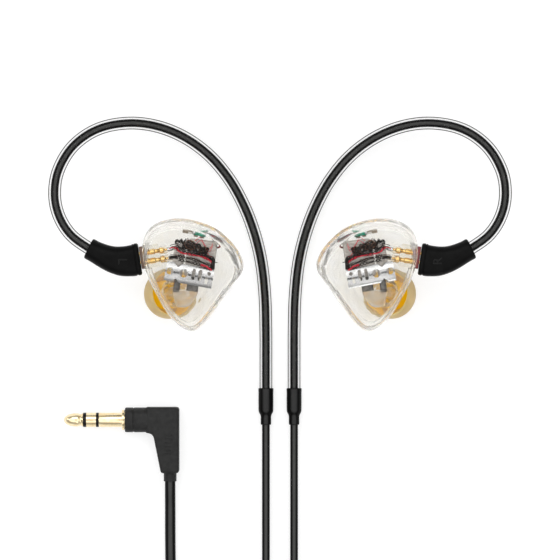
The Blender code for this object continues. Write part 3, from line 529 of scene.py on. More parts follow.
# Opaque looks: the dark and the light tone, the least and the most roughness, how many patches
# and how much grain there is in a millimetre, and how deep the grain is in millimetres.
SOLIDS = {
    "can": ("driver_can", (0.28, 0.255, 0.235), (0.5, 0.47, 0.43), (0.34, 0.5), 1.2, 9, 0.004),
    # The ports are the cans' steel painted darker: painted shade, as they lie deeper down in shadow.
    "port": ("port_steel_painted_shade", (0.09, 0.085, 0.08), (0.2, 0.19, 0.175), (0.35, 0.5), 1, 9, 0.004),
    "strip": ("polished_strip", (0.36, 0.355, 0.35), 0.6, (0.1, 0.2), 0.22, 12, 0.001),
    "mesh": ("filter_mesh", 0.5, 0.85, (0.3, 0.5), 4, 8, 0.05),
    "board": ("green_board", (0.01, 0.16, 0.09), (0.03, 0.32, 0.2), (0.25, 0.4), 1.5, 5, 0.01),
    "chip": ("chip_ceramic", (0.2, 0.15, 0.1), (0.42, 0.36, 0.28), (0.35, 0.5), 2, 0, 0),
    "solder": ("solder", 0.5, (0.75, 0.75, 0.76), (0.15, 0.3), 3, 6, 0.02),
    "gold": ("gold_plate", (0.78, 0.5, 0.17), (0.96, 0.72, 0.36), (0.1, 0.2), 0.8, 10, 0.002),
    # The jack's gold is a lighter copy of the pins' gold: painted highlight for the brighter reflections on
    # the jack.
    "jack_gold_painted_highlight": ("jack_gold_painted_highlight", (0.88, 0.68, 0.38), (0.98, 0.86, 0.6), (0.08, 0.16), 0.8, 10, 0.002),
    "red_wire": ("red_enamel", (0.5, 0.01, 0.02), (0.85, 0.04, 0.08), (0.2, 0.4), 1.5, 0, 0),
    "black_wire": ("black_enamel", 0.002, (0.02, 0.013, 0.01), (0.25, 0.4), 1.5, 0, 0),
    "copper_wire": ("bare_litz", (0.03, 0.012, 0.008), (0.2, 0.09, 0.05), (0.3, 0.45), 1.2, 0, 0),
    "left_insert": ("brown_insert", (0.1, 0.05, 0.03), (0.2, 0.11, 0.07), (0.3, 0.45), 1, 6, 0.008),
    "right_insert": ("red_insert", (0.14, 0.01, 0.012), (0.24, 0.02, 0.02), (0.3, 0.45), 1, 6, 0.008),
    "boot": ("boot_rubber", 0.002, 0.004, (0.34, 0.46), 0.4, 7, 0.008),
    "plug": ("plug_moulding", 0.009, (0.018, 0.018, 0.0175), (0.44, 0.56), 1, 5, 0.012),
    "jack_black": ("jack_insulator", 0.002, 0.005, (0.2, 0.3), 1, 5, 0.003),
    "mark": ("ear_mark", 0.006, 0.012, (0.3, 0.4), 1, 6, 0.004),
    "tie": ("coil_tie", 0.02, 0.04, (0.5, 0.65), 1, 8, 0.02),
}
METALLIC = dict.fromkeys(("can", "port", "strip", "mesh", "solder", "gold", "jack_gold_painted_highlight"), 1.0)
METALLIC["copper_wire"] = 0.4
SPECULAR = {"black_wire": 0.25, "boot": 0.07, "plug": 0.25, "jack_black": 0.2, "mark": 0.12}
STRETCHED = {"can": (1, 4, 1), "strip": (0.7, 1.6, 1)}  # how much finer the noise is in X, Y and Z
for key, finish in SOLIDS.items():
    stretch = STRETCHED.get(key, (1, 1, 1))
    LOOKS[key] = solid(*finish, stretch, METALLIC.get(key, 0), SPECULAR.get(key, 0.5))


# ---------------------------------------------------------------- camera, floor and light


def add_camera():
    data = bpy.data.cameras.new("camera")
    data.sensor_width = SENSOR
    data.lens = SENSOR * (CAMERA_HEIGHT - VIEW_LEVEL) / VIEW_WIDTH
    data.clip_start, data.clip_end = 0.01, 10
    made = linked("camera", data)
    made.location = (0, VIEW_MIDDLE_Y * MM, CAMERA_HEIGHT * MM)
    bpy.context.scene.camera = made


def add_lamp(name, size, watts, at):
    """A white panel of that size and place in metres, facing the middle of the object."""
    data = bpy.data.lights.new(name, "AREA")
    data.shape, data.size, data.size_y = "RECTANGLE", size[0], size[1]
    data.energy = watts
    made = linked(name, data)
    made.location = at
    made.rotation_euler = (Vector((0, 0, 0.01)) - Vector(at)).to_track_quat("-Z", "Y").to_euler()


# The sine of the height above the horizon, and the grey there. The darker band half way up draws
# the edges of clear pieces, and the bright ring overhead puts a highlight along each cable. The
# dark middle of the ring keeps a veil of reflections off the flat faceplates.
WORLD_GREYS = (
    (0.0, 0.95), (0.2, 0.85), (0.35, 0.45), (0.7, 0.45), (0.8, 1.5), (0.9935, 1.5), (0.9955, 0.08),
)


def add_world():
    """A soft sky that depends on height only."""
    world = bpy.data.worlds.new("studio")
    bpy.context.scene.world = world
    world.use_nodes = True
    tree = world.node_tree
    where = add_node(tree, "TexCoord").outputs["Generated"]
    parts = add_node(tree, "SeparateXYZ", Vector=where)
    ramp = add_node(tree, "ValToRGB", Fac=parts.outputs["Z"])
    for height, _ in WORLD_GREYS[1:-1]:
        ramp.color_ramp.elements.new(height)
    for stop, (height, grey) in zip(ramp.color_ramp.elements, WORLD_GREYS):
        stop.position, stop.color = height, colour(grey)
    fill(tree, tree.nodes["Background"], Color=ramp.outputs["Color"], Strength=1.0)


FLOOR_REACH = 3.0  # metres each way from the middle


def add_floor():
    made, tree, shader = new_look("pale_floor")
    fill(tree, shader, Base_Color=two_tone(tree, noise(tree, 0.02), 0.39, 0.41), Roughness=0.9,
         Specular_IOR_Level=0.0, Emission_Color=colour(1), Emission_Strength=0.68)  # fmt: skip
    mesh = bpy.data.meshes.new("floor")
    corners = [(x * FLOOR_REACH, y * FLOOR_REACH, 0) for x, y in ((-1, -1), (1, -1), (1, 1), (-1, 1))]
    mesh.from_pydata(corners, [], [(0, 1, 2, 3)])
    mesh.materials.append(made)
    linked("floor", mesh)


def add_studio():
    add_camera()
    add_world()
    add_floor()
    add_lamp("softbox", (1.0, 0.7), 2.6, (-0.1, 0.75, 1.1))
    add_lamp("side_strip", (0.12, 0.7), 1.0, (-0.9, 0.2, 0.7))
    add_lamp("front_strip", (0.7, 0.12), 0.6, (0.3, -0.9, 0.8))
    bpy.context.scene.view_settings.view_transform = "Standard"
    tracing = bpy.context.scene.cycles
    tracing.use_denoising = True
    # Light is reflected many times inside clear plastic before it comes out again.
    tracing.glossy_bounces, tracing.transmission_bounces, tracing.max_bounces = 16, 20, 24
    tracing.transparent_max_bounces = 16


# ---------------------------------------------------------------- free cables


def ease(t):
    t = min(max(t, 0.0), 1.0)
    return t * t * (3 - 2 * t)


WINDING_STEP = 10.0  # degrees between two points of a coil


def wound(centre, outer, start_degrees, turns, pitch, radius, inset_in, inset_out, crossing):
    """A strand of a flat coil of two layers, anticlockwise: in along the table, up, and out on
    top. The insets are how far inside the coil's outermost strand it lies, on its way in and
    out, and the crossing is the angle over which it climbs and changes places."""
    sweep = 360.0 * turns
    ramp = (sweep - crossing) / 2
    points = []
    for i in range(1, round(sweep / WINDING_STEP)):
        turned = WINDING_STEP * i
        share = (turned - ramp) / crossing
        depth = pitch * min(turned, ramp, sweep - turned) / 360
        climb = ease(share * 2) if inset_out >= inset_in else ease(share * 2 - 1)
        # Two strands change places in the middle part of the crossing.
        inset = inset_in + (inset_out - inset_in) * ease(share * 1.6 - 0.3)
        r = outer - depth - inset
        a = math.radians(start_degrees + turned)
        level = radius + 2 * radius * LAYER_STEP * climb
        points.append(Vector((centre[0] + r * math.cos(a), centre[1] + r * math.sin(a), level)))
    return points


def flex(name, points, radius, *nodes):
    """A cable as a curve with a round section, through points about a millimetre apart."""
    line = bpy.data.curves.new(name, "CURVE")
    line.dimensions = "3D"
    line.bevel_depth, line.bevel_resolution = radius * MM, 5
    line.use_fill_caps = True
    spline = line.splines.new("POLY")
    points = smooth_route(points, 1.0)
    spline.points.add(len(points) - 1)
    for target, p in zip(spline.points, points):
        target.co = (*(p * MM), 1.0)
    line.materials.append(LOOKS["cable"])
    return place(linked(name, line), "cable_harness", "cable_black", *nodes)


def leg_flex(side, inset_in, inset_out):
    coil = wound(LEG_COIL, LEG_COIL_OUTER, 180, LEG_TURNS, 2 * LEG_PITCH, CORE, inset_in, inset_out,
                 crossing=110)  # fmt: skip
    nodes = [f"{side}_leg_cable", f"{side}_leg_tail"]
    if side == "left":
        nodes.append("leg_coil")
    return flex(f"{side}_leg_flex", LEG_ROUTES[side] + coil + TAIL_ROUTES[side], CORE, *nodes)


def main_flex():
    coil = wound(MAIN_COIL, MAIN_COIL_OUTER, 90, MAIN_TURNS, MAIN_PITCH, MAIN, 0, 0, crossing=50)
    route = MAIN_START_ROUTE + coil + PLUG_CABLE_ROUTE
    return flex("main_flex", route, MAIN, "main_cable", "main_coil", "plug_cable")


TIE_THICK, TIE_HALF_WIDTH, TIE_END = 0.45, 1.6, (4.2, 2.6, 0.5)


def coil_tie(name, centre, degrees, inner, outer, height):
    """A strap round a coil's turns, with its end tucked over."""
    a = math.radians(degrees)
    out, across = Vector((math.cos(a), math.sin(a), 0)), Vector((-math.sin(a), math.cos(a), 0))
    middle = Vector((*centre, height / 2)) + out * (inner + outer) / 2
    rings = []
    for thick, way in ((0, -1), (TIE_THICK, 1)):
        section = rounded_section(outer - inner + 2 * thick, height + thick, 48, 4)
        for shift in (way * TIE_HALF_WIDTH, -way * TIE_HALF_WIDTH):
            rings.append([
                middle + out * u + Vector((0, 0, max(v, thick * 0.1 - height / 2))) + across * shift
                for u, v in section
            ])  # fmt: skip
    shape = Shape().rings(rings, loop=True)
    shape.block(TIE_END, middle + Vector((0, 0, height / 2 + TIE_THICK)), spun(degrees))
    return place(piece(name, shape, "tie", bevel=0.12), "cable_harness", "boot_rubber")


def add_free_cables():
    left, right, main = leg_flex("left", 0, LEG_PITCH), leg_flex("right", LEG_PITCH, 0), main_flex()
    leg_tie = coil_tie("leg_coil_tie", LEG_COIL, 340, 6.2, 15.9, 3.9)
    main_tie = coil_tie("main_coil_tie", MAIN_COIL, 215, 8.3, 21.6, 5.3)
    splitter = splitter_piece()
    slider = slider_piece()
    plug = [*plug_pieces(), main_tie]


# ---------------------------------------------------------------- splitter, slider and plug


def splitter_piece():
    """The moulded joint of the two legs and the main cable, ribbed where the cable leaves."""
    rows = [
        (SPLITTER_RIGHT, 6.0, 3.8), (SPLITTER_RIGHT - 0.5, 6.6, SPLITTER_THICK),
        (SPLITTER_RIGHT - 6.0, 6.4, SPLITTER_THICK), (SPLITTER_RIGHT - 9.5, 5.0, SPLITTER_THICK),
        (SPLITTER_LEFT + 3.2, 4.6, 4.3),
    ]  # fmt: skip
    rows = between(rows, 6)
    for k in range(4):
        x = SPLITTER_LEFT + 3.0 - 0.75 * k
        rib = (4.5 - 0.15 * k, 4.2 - 0.1 * k)
        rows += [(x, *rib), (x - 0.4, *rib), (x - 0.5, 3.7, 3.7), (x - 0.65, 3.7, 3.7)]
    middle = SPLITTER_THICK / 2
    stations = [((x, SPLITTER_Y, middle), (-1, 0, 0), w, h, 3.0) for x, w, h in rows]
    made = piece("splitter_moulding", Shape().swept(stations), "boot", bevel=0.05)
    return place(made, "cable_harness", "boot_rubber", "y_splitter")


def slider_piece():
    """The chin slider, waisted where the thumb holds it, with a lip round each leg."""
    half = SLIDER_LENGTH / 2
    rows = [(-half, 10.4, 3.0), (-half + 0.25, 11.1, 3.5), (-half + 0.8, SLIDER_WIDTH, 3.66),
            (0, SLIDER_WIDTH - 0.7, 3.4), (half - 0.8, SLIDER_WIDTH, 3.66), (half - 0.25, 11.1, 3.5),
            (half, 10.4, 3.0)]  # fmt: skip
    stations = []
    for y, width, height in between(rows, 6):
        stations.append(((0, SLIDER_Y + y, SLEEVE_RADIUS), (0, 1, 0), width, height, 4.0))
    shape = Shape().swept(stations, 64)
    lip = [(1.02, 0), (1.3, 0), (1.3, 0.5), (1.15, 0.6), (1.02, 0.5)]
    for x in (-LEG_X, LEG_X):
        for along in (-1, 1):
            mouth = (x, SLIDER_Y + along * half - 0.4 * along, SLEEVE_RADIUS)
            shape.turned(lip, mouth, (0, along, 0), 32, True)
    return place(piece("slider_bead", shape, "boot"), "chin_slider", "boot_rubber", "chin_slider")


def grown(corners, by):
    """The corners of an outline moved outwards, or inwards if by is negative."""
    moved = []
    for k, here in enumerate(corners):
        before, after = corners[k - 1], corners[(k + 1) % len(corners)]
        edge_in, edge_out = (here - before).normalized(), (after - here).normalized()
        normal = Vector((edge_in.y, -edge_in.x))
        outward = (normal + Vector((edge_out.y, -edge_out.x))).normalized()
        # A sharp corner moves at most twice as far as its sides.
        moved.append(here + outward * by / max(outward.dot(normal), 0.5))
    return moved


CORNER_STEPS = 6
PLUG_BACK, PLUG_FRONT, PLUG_ARM = PLUG_X + 2.2, PLUG_X - 5.8, JACK_Y - 3.1
PLUG_CORNERS = (  # each with how far its rounding reaches
    ((PLUG_BACK, PLUG_BOTTOM), 0.8),
    ((PLUG_BACK, PLUG_TOP), 0.8),
    ((PLUG_FRONT, PLUG_TOP), 0.3),
    ((PLUG_FRONT, PLUG_ARM), 0.3),
    ((PLUG_X - 4.1, PLUG_ARM - 0.2), 1.2),
    ((PLUG_X - 2.2, PLUG_BOTTOM), 0.6),
)


def plug_ring(height, by):
    """The elbow's outline seen from above, grown by that much, with its corners rounded."""
    corners = grown([Vector(spot) for spot, _ in PLUG_CORNERS], by)
    ring = []
    for k, (here, (_, radius)) in enumerate(zip(corners, PLUG_CORNERS)):
        before = (corners[k - 1] - here).normalized() * radius
        after = (corners[(k + 1) % len(corners)] - here).normalized() * radius
        for i in range(CORNER_STEPS + 1):
            t = i / CORNER_STEPS
            ring.append((*(here + before * (1 - t) ** 2 + after * t**2), height))
    return ring


def plug_body_shape():
    """The elbow with its seam, the collar that the jack stands in, and six ribs to grip."""
    half = PLUG_THICK / 2
    levels = [(0.0, -0.7), (0.06, -0.45), (0.2, -0.22), (0.45, -0.06), (0.7, 0.0)]
    seam = [(half - 0.06, 0.0), (half - 0.04, -0.05), (half + 0.04, -0.05), (half + 0.06, 0.0)]
    levels += seam + [(PLUG_THICK - z, by) for z, by in reversed(levels)]
    shape = Shape().rings([plug_ring(height, by) for height, by in levels])
    collar = [  # how far along it is, and how far in from the collar's full size
        (4.6, 0.3), (5.0, 0.0), (8.6, 0.0), (8.7, 0.12), (8.9, 0.12), (9.0, 0.0), (10.6, 0.0),
        (10.85, 0.12), (10.9, 0.4), (10.9, 1.4),
    ]  # fmt: skip
    stations = []
    for along, inset in collar:
        size = (6.0 - 2 * inset, 2 * (half - 0.05 - inset))
        stations.append(((PLUG_X - along, JACK_Y, half), (-1, 0, 0), *size, 2.5))
    shape.swept(stations, 64)
    for k in range(6):
        spot = (PLUG_X - 0.3 - 0.08 * k, -39.6 - 0.9 * k, PLUG_THICK)
        shape.block((1.7, 0.3, 0.24), spot, spun(0), rim=0.06)
    return shape


def jack_profiles():
    """Each turned part of the jack as (radius, distance from the shoulder) pairs."""
    r = JACK_RADIUS
    return {
        "jack_sleeve": [
            (1.15, -3.0), (1.95, -3.0), (1.95, 0.1), (2.3, 0.1), (2.45, 0.2), (2.45, 0.6), (2.35, 0.7),
            (r, 0.7), (r, 1.0), (r, 6.1), (r - 0.08, 6.3), (1.15, 6.3)],
        "jack_insulator": [
            (0.6, -3.0), (1.05, -3.0), (1.05, 6.33), (r, 6.33), (r, 6.92), (1.05, 6.92), (1.05, 9.33),
            (r, 9.33), (r, 10.02), (0.6, 10.02)],
        "jack_ring": [(1.15, 6.95), (r, 6.95), (r, 9.3), (1.15, 9.3)],
        "jack_tip": [
            (0.5, 9.0), (0.5, 10.05), (1.6, 10.05), (1.64, 10.12), (1.6, 10.3), (1.42, 10.5), (1.36, 10.7),
            (1.42, 10.9), (1.56, 11.15), (1.62, 11.5), (1.58, 12.4), (1.45, 13.2), (1.22, 13.8),
            (0.92, 14.25), (0.58, 14.55), (0.25, 14.7)],
    }  # fmt: skip


def plug_pieces():
    body = piece("plug_moulding", plug_body_shape(), "plug", crisp=30)
    place(body, "cable_harness", "plug_black", "plug_body")
    rows = [(1.35, 0.0), (1.55, 0.0), (1.55, 1.9), (1.75, 2.2), (1.75, 2.6)]
    relief = Shape().turned(rows, (PLUG_X, PLUG_BOTTOM - 2.0, 2.8), (0, 1, 0), 40)
    made = [body, place(piece("plug_relief", relief, "plug"), "cable_harness", "plug_black")]
    origin = (JACK_SHOULDER, JACK_Y, PLUG_THICK / 2)
    for name, profile in jack_profiles().items():
        # The jack takes the lighter copy of the gold, a painted highlight.
        look, slot = ("jack_gold_painted_highlight", "gold_plate")
        if name == "jack_insulator":
            look = slot = "jack_black"
        shape = Shape().turned(profile, origin, (-1, 0, 0), 64, loop=name != "jack_tip")
        made.append(place(piece(f"{name}_fine", shape, look), "cable_harness", slot, name))
    return made


# ---------------------------------------------------------------- ear hooks and connectors


HOOK_POINTS = smooth_route(HOOK_ROUTE, 0.7)
TUBE_SIDES = 40


def hook_tube_shape():
    """A clear formed tube, open at both ends: its outside, one end, its bore and the other end."""
    points = [p for p in HOOK_POINTS if p.y > HOOK_END_Y]
    stops = list(zip(points, frames_along(points)))
    outside = [circle(p, turn, HOOK_TUBE, TUBE_SIDES) for p, turn in stops]
    bore = [circle(p, turn, HOOK_BORE, TUBE_SIDES) for p, turn in stops]
    return Shape().rings(outside + bore[::-1], loop=True)


def add_hook_sheaths():
    """The tube's bore has no painted outline of its own, so it has a plainer look than the outside."""
    for side in SIDES:
        made = piece(f"{side}_hook_sheath", hook_tube_shape(), "tube", side)
        made.data.materials.append(LOOKS["bore"])
        faces = made.data.polygons
        for face in faces[len(faces) // 2:]:
            face.material_index = 1
        place(made, "cable_harness", "clear_tube", f"{side}_hook_tube")


def hook_core_shape():
    return Shape().tube(HOOK_POINTS, CORE, 32)


def sleeve_shape():
    """Heat-shrink that steps down from the hook tube to the bare cable."""
    profile = [
        (1.6, 0.0), (1.74, -0.02), (1.82, 0.08), (1.84, 0.3), (1.8, 1.2), (1.82, 3.0), (1.8, 5.2),
        (1.76, 5.6), (1.62, 5.95), (1.42, 6.3), (1.32, 6.6), (1.27, 7.0), (1.28, 8.4), (1.25, 8.7),
        (1.16, 8.8), (1.0, 8.78), (1.0, 6.3), (1.6, 5.4),
    ]  # fmt: skip
    return Shape().turned(profile, (-LEG_X, SLEEVE_TOP_Y, SLEEVE_RADIUS), (0, -1, 0), 56, loop=True)


CONNECTOR_TURN = frame_along(PIN_DIRECTION)


def on_connector(along, across=0.0):
    """A point at the connector, along its pins and across from its middle."""
    return CONNECTOR + CONNECTOR_TURN @ Vector((along, across, 0))


def on_contact(side, along=0.0):
    """A point on the line of one of the two pins, on side 1 or -1."""
    return on_connector(along, side * PIN_PITCH / 2)


def boot_shape():
    """The rubber boot bends from the connector's line to the ear hook's."""
    outwards = -PIN_DIRECTION
    level, hook_level = CONNECTOR.z, HOOK_ROUTE[0][2]
    hook = (Vector(HOOK_ROUTE[1]) - Vector(HOOK_ROUTE[0])).normalized()
    mouth = [  # the mating end, with a fine groove behind its rim: back, sideways, width, height
        (0.02, 0.25, 7.1, 5.1), (0.15, 0.27, 7.5, 5.5), (0.4, 0.3, 7.7, 5.7), (0.85, 0.36, 7.7, 5.7),
        (0.95, 0.37, 7.4, 5.4), (1.1, 0.39, 7.4, 5.4),
    ]  # fmt: skip
    face = [((CONNECTOR.x - x, CONNECTOR.y - y, level), outwards, w, h, 4.0) for x, y, w, h in mouth]
    face.append(((CONNECTOR.x - 1.2, CONNECTOR.y - 0.41, level), outwards, 7.65, 5.7, 3.8))
    bend = [
        ((-34.8, 2.6, level), outwards, 7.65, 5.7, 3.6),
        ((-35.6, 2.45, level), (-1, 0, 0), 7.5, 5.7, 3.4),
        ((-37.8, 2.35, level), (-1, 0.08, 0), 7.1, 5.6, 3.0),
        ((-40.0, 2.75, level), (-1, 0.25, 0), 6.4, 5.4, 2.7),
        ((-42.0, 3.5, hook_level), (-1, 0.4, 0), 5.75, 5.2, 2.4),
        ((-44.2, 4.6, hook_level), hook, 5.2, 5.0, 2.2),
        ((-45.3, 5.2, hook_level), hook, 5.2, 5.0, 2.1),
    ]
    lip = [
        ((-45.55, 5.33, hook_level), hook, 5.05, 4.85, 2.1),
        ((-45.7, 5.4, hook_level), hook, 4.8, 4.6, 2.1),
        ((-45.75, 5.42, hook_level), hook, 4.3, 4.1, 2.1),
        ((-45.6, 5.35, hook_level), hook, 3.3, 3.3, 2.0),
    ]
    return Shape().swept(face + stations_between(bend, 5) + lip, 64)


def insert_shape():
    """The coloured face of the plug, which keys into the shell's socket."""
    shape = Shape()
    stations = []
    for along, inset in ((0.1, 0.1), (0.2, 0.0), (1.2, 0.0), (1.35, 0.12)):
        stations.append((on_connector(along), PIN_DIRECTION, 5.4 - inset * 2, 3.2 - inset * 2, 5.0))
    shape.swept(stations, 56)
    ring = [(0.42, -0.3), (0.62, -0.3), (0.62, 0.06), (0.42, 0.06)]
    for side in (-1, 1):
        shape.turned(ring, on_contact(side, 1.35), PIN_DIRECTION, 24, True)
    return shape


def pin_shape(side):
    """One contact pin with a rounded nose."""
    profile = [(0.39, -2.0), (0.39, 4.85), (0.36, 5.05), (0.28, 5.2), (0.16, 5.28), (0.05, 5.3)]
    return Shape().turned(profile, on_contact(side), PIN_DIRECTION, 24)


MARK_X, MARK_Y, MARK_RISE, MARK_SIZE = -37.6, 2.3, 2.8, 3.0


def side_mark(side):
    """The raised letter on each boot that tells the ears apart."""
    text = bpy.data.curves.new(f"{side}_ear_mark", "FONT")
    text.body = side[0].upper()
    text.size, text.extrude, text.bevel_depth = MARK_SIZE * MM, 0.06 * MM, 0.03 * MM
    text.align_x, text.align_y = "CENTER", "CENTER"
    text.materials.append(LOOKS["mark"])
    made = linked(f"{side}_ear_mark", text)
    flip = -1 if side == "right" else 1
    made.location = (MARK_X * MM * flip, MARK_Y * MM, (CONNECTOR.z + MARK_RISE) * MM)
    made.rotation_euler = (0, 0, math.radians(-90 * flip))
    place(made, "cable_harness", "boot_rubber")


def add_hooks_and_connectors():
    pair("hook_core", hook_core_shape, "cable", "cable_harness", "cable_black", "hook_cable")
    add_hook_sheaths()
    pair("shrink_sleeve", sleeve_shape, "sleeve", "cable_harness", "boot_rubber", "sleeve")
    pair("boot_moulding", boot_shape, "boot", "cable_harness", "boot_rubber", "boot", crisp=50)
    for side, slot in zip(SIDES, ("insert_brown", "insert_red")):
        made = piece(f"{side}_insert_moulding", insert_shape(), f"{side}_insert", side)
        place(made, "cable_harness", slot, f"{side}_plug_insert")
        side_mark(side)
    for name, sign in (("upper", 1), ("lower", -1)):
        build = partial(pin_shape, sign)
        pair(f"{name}_pin_fine", build, "gold", "cable_harness", "gold_plate", f"{name}_pin")


# ---------------------------------------------------------------- shell and faceplate


def outline_radius(degrees):
    """The shell outline's radius at an angle, on a smooth line through its own points."""
    count = len(SHELL_OUTLINE)
    k = max(i for i in range(count) if SHELL_OUTLINE[i][0] <= degrees)
    knots = [list(SHELL_OUTLINE[(k + j) % count]) for j in (-1, 0, 1, 2)]
    for before, after in zip(knots, knots[1:]):
        after[0] = before[0] + (after[0] - before[0]) % 360
    (a0, r0), (a1, r1), (a2, r2), (a3, r3) = knots
    width = a2 - a1
    share = (degrees - a1) % 360 / width
    return hermite(r1, r2, (r2 - r0) / (a2 - a0) * width, (r3 - r1) / (a3 - a1) * width, share)


OUTLINE = [(math.radians(d), outline_radius(d)) for d in range(0, 360, 3)]
TILT = Vector((0, 0, -1)).rotation_difference(NOZZLE_DIRECTION)


def level(x, y, z, scale, lean=0.0, roundness=0.0, radius=0.0):
    """A ring of the shell. It leans from flat to square with the nozzle, and its shape goes
    from the outline, at that scale, to a circle of that radius."""
    turn = Quaternion().slerp(TILT, min(max(lean, 0.0), 1.0))
    ring = []
    for a, outermost in OUTLINE:
        r = (1 - roundness) * scale * outermost + roundness * radius
        ring.append(SHELL_MIDDLE + Vector((x, y, z)) + turn @ Vector((r * math.cos(a), r * math.sin(a), 0)))
    return ring


def nozzle_row(along, radius):
    return [*(NOZZLE_ROOT + NOZZLE_DIRECTION * along), 0.0, 1.0, 1.0, radius]


def upright(*rows):
    """Rows of the shell that neither lean nor turn round."""
    return [[*row, 0.0, 0.0, 0.0] for row in rows]


def shell_shape():
    """A cup that is thick at its ear side, where the sound bore runs down through the nozzle.
    Each row holds the numbers that level() takes."""
    outside = upright(
        (-0.17, -0.3, SEAM_HEIGHT, 0.945), (-0.05, -0.1, 1.5, 0.985), (0, 0, 0, 1.0),
        (-0.1, -0.2, -1.5, 0.965), (-0.5, -0.8, -2.7, 0.86), (-1.2, -1.9, -3.7, 0.7),
    )  # fmt: skip
    outside.append([-2.3, -3.2, -4.5, 0.5, 0.35, 0.3, 4.4])
    outside += [nozzle_row(0.7, 3.5), nozzle_row(1.9, NOZZLE_RADIUS)]
    nozzle = (  # the lip that holds the eartip, and the seat of the filter
        (5.1, 2.45), (5.3, 2.5), (5.45, 2.6), (6.1, 2.6), (6.3, 2.45), (6.3, 2.05), (5.6, 2.05),
        (5.5, SOUND_BORE), (0.0, SOUND_BORE),
    )  # fmt: skip
    rows = between(outside, 6) + [nozzle_row(*row) for row in nozzle]
    rows.append([-2.8, -4.6, -2.5, 0.0, 0.5, 1.0, 1.6])
    inside = [[-2.6, -4.6, -2.15, 0.0, 0.2, 1.0, 2.0]]
    inside += upright(
        (-1.2, -1.9, -1.95, 0.6), (-0.5, -0.8, -1.75, 0.78), (-0.25, -0.4, -0.9, 0.855),
        (-0.35, -0.6, 0.6, 0.87), (-0.45, -0.75, SEAM_HEIGHT, 0.845),
    )  # fmt: skip
    rows += between(inside, 6)
    return Shape().rings([level(*row) for row in rows], loop=True)


def faceplate_shape():
    """The flat lid with its rounded edge."""
    low = SEAM_HEIGHT + 0.1
    rows = [(low, 0.942, 0.35), (3.5, 0.93, 0.5), (4.0, 0.905, 0.75), (4.35, 0.872, 0.95),
            (4.48, 0.85, 1.0), (PLATE_TOP, 0.83, 1.0)]  # fmt: skip
    rows = [(low, 0.9, 0.35), (low, 0.935, 0.35), *between(rows, 4), (PLATE_TOP, 0.8, 1.0)]
    rings = []
    for height, scale, shift in rows:
        rings.append(level(PLATE_SHIFT.x * shift, PLATE_SHIFT.y * shift, height, scale))
    return Shape().rings(rings)


def socket_block_shape(grow=0.0, reach=0.0):
    """The socket's clear block, or the slot in the shell's wall that it is fixed in."""
    low, high = 1.45 - reach, 4.85 + reach
    stations = []
    for along, inset in ((low, 0.25), (low + 0.25, 0.0), (high - 0.25, 0.0), (high, 0.25)):
        size = 2 * (grow - inset)
        stations.append((on_connector(along), PIN_DIRECTION, 5.4 + size, 3.2 + size, 6.0))
    return Shape().swept(stations, 48)


def socket_resin_shape():
    """The block, with a stepped clear ferrule round the far end of each contact."""
    shape = socket_block_shape()
    ferrule = [(0.72, 4.9), (1.0, 4.9), (1.0, 5.5), (0.88, 5.65), (0.88, 5.85), (1.0, 6.0), (0.98, 6.6),
               (0.9, 6.7), (0.72, 6.7)]  # fmt: skip
    for side in (-1, 1):
        shape.turned(ferrule, on_contact(side), PIN_DIRECTION, 40, loop=True)
    return shape


def cut(made, cutter):
    """Take one piece out of another, for good."""
    modifier = made.modifiers.new("cut", "BOOLEAN")
    modifier.operation, modifier.object, modifier.solver = "DIFFERENCE", cutter, "EXACT"
    bpy.context.view_layer.update()
    graph = bpy.context.evaluated_depsgraph_get()
    result = bpy.data.meshes.new_from_object(made.evaluated_get(graph))
    made.modifiers.clear()
    made.data = result
    bpy.data.objects.remove(cutter)


def add_shells():
    for side in SIDES:
        shell = piece(f"{side}_clear_shell", shell_shape(), "shell", side)
        cut(shell, piece(f"{side}_slot", socket_block_shape(0.15, 4.5), "shell", side))
        place(shell, f"{side}_earpiece", "clear_resin", f"{side}_shell")
    pair("clear_lid", faceplate_shape, "plate", "earpiece", "clear_resin", "faceplate")
    pair("filter_screen", filter_shape, "mesh", "earpiece", "filter_mesh", "nozzle_filter")


SCREEN_PITCH, SCREEN_RADIUS, SCREEN_WIRE = 0.26, 1.75, 0.05


def filter_shape():
    """A round woven screen in a rim, across the end of the nozzle."""
    end = SHELL_MIDDLE + NOZZLE_ROOT + NOZZLE_DIRECTION * 5.75
    rim = [(1.7, 0), (1.95, 0), (1.95, 0.4), (1.7, 0.4)]
    shape = Shape().turned(rim, end, NOZZLE_DIRECTION, 48, loop=True)
    turn = frame_along(NOZZLE_DIRECTION)
    for k in range(-6, 7):
        offset = k * SCREEN_PITCH
        half = math.sqrt(max(SCREEN_RADIUS**2 - offset**2, 0.01))
        for across in (False, True):
            points = []
            for i in range(25):
                along = half * (i / 12 - 1)
                wave = SCREEN_WIRE * math.cos(math.pi * (along / SCREEN_PITCH + k + across))
                spot = (along, offset) if across else (offset, along)
                points.append(end + turn @ Vector((0.2 + wave, *spot)))
            shape.tube(points, SCREEN_WIRE, 6)
    return shape


# ---------------------------------------------------------------- inside the shell


def local(x, y, z):
    return SHELL_MIDDLE + Vector((x, y, z))


PORT_ROOT = 0.8  # how far a sound port reaches inside its driver
CAN_TURN = spun(-8)
DRIVERS = (  # name, can, its middle, sound port, and how far across that is
    ("bass", (7.0, 9.2, 2.5), local(2.2, 3.3, 0.35), (2.8, 3.3, 1.8), -1.0),
    ("treble", (2.7, 9.0, 2.2), local(-3.13, 3.09, 0.3), (1.6, 3.2, 1.5), 0.5),
)


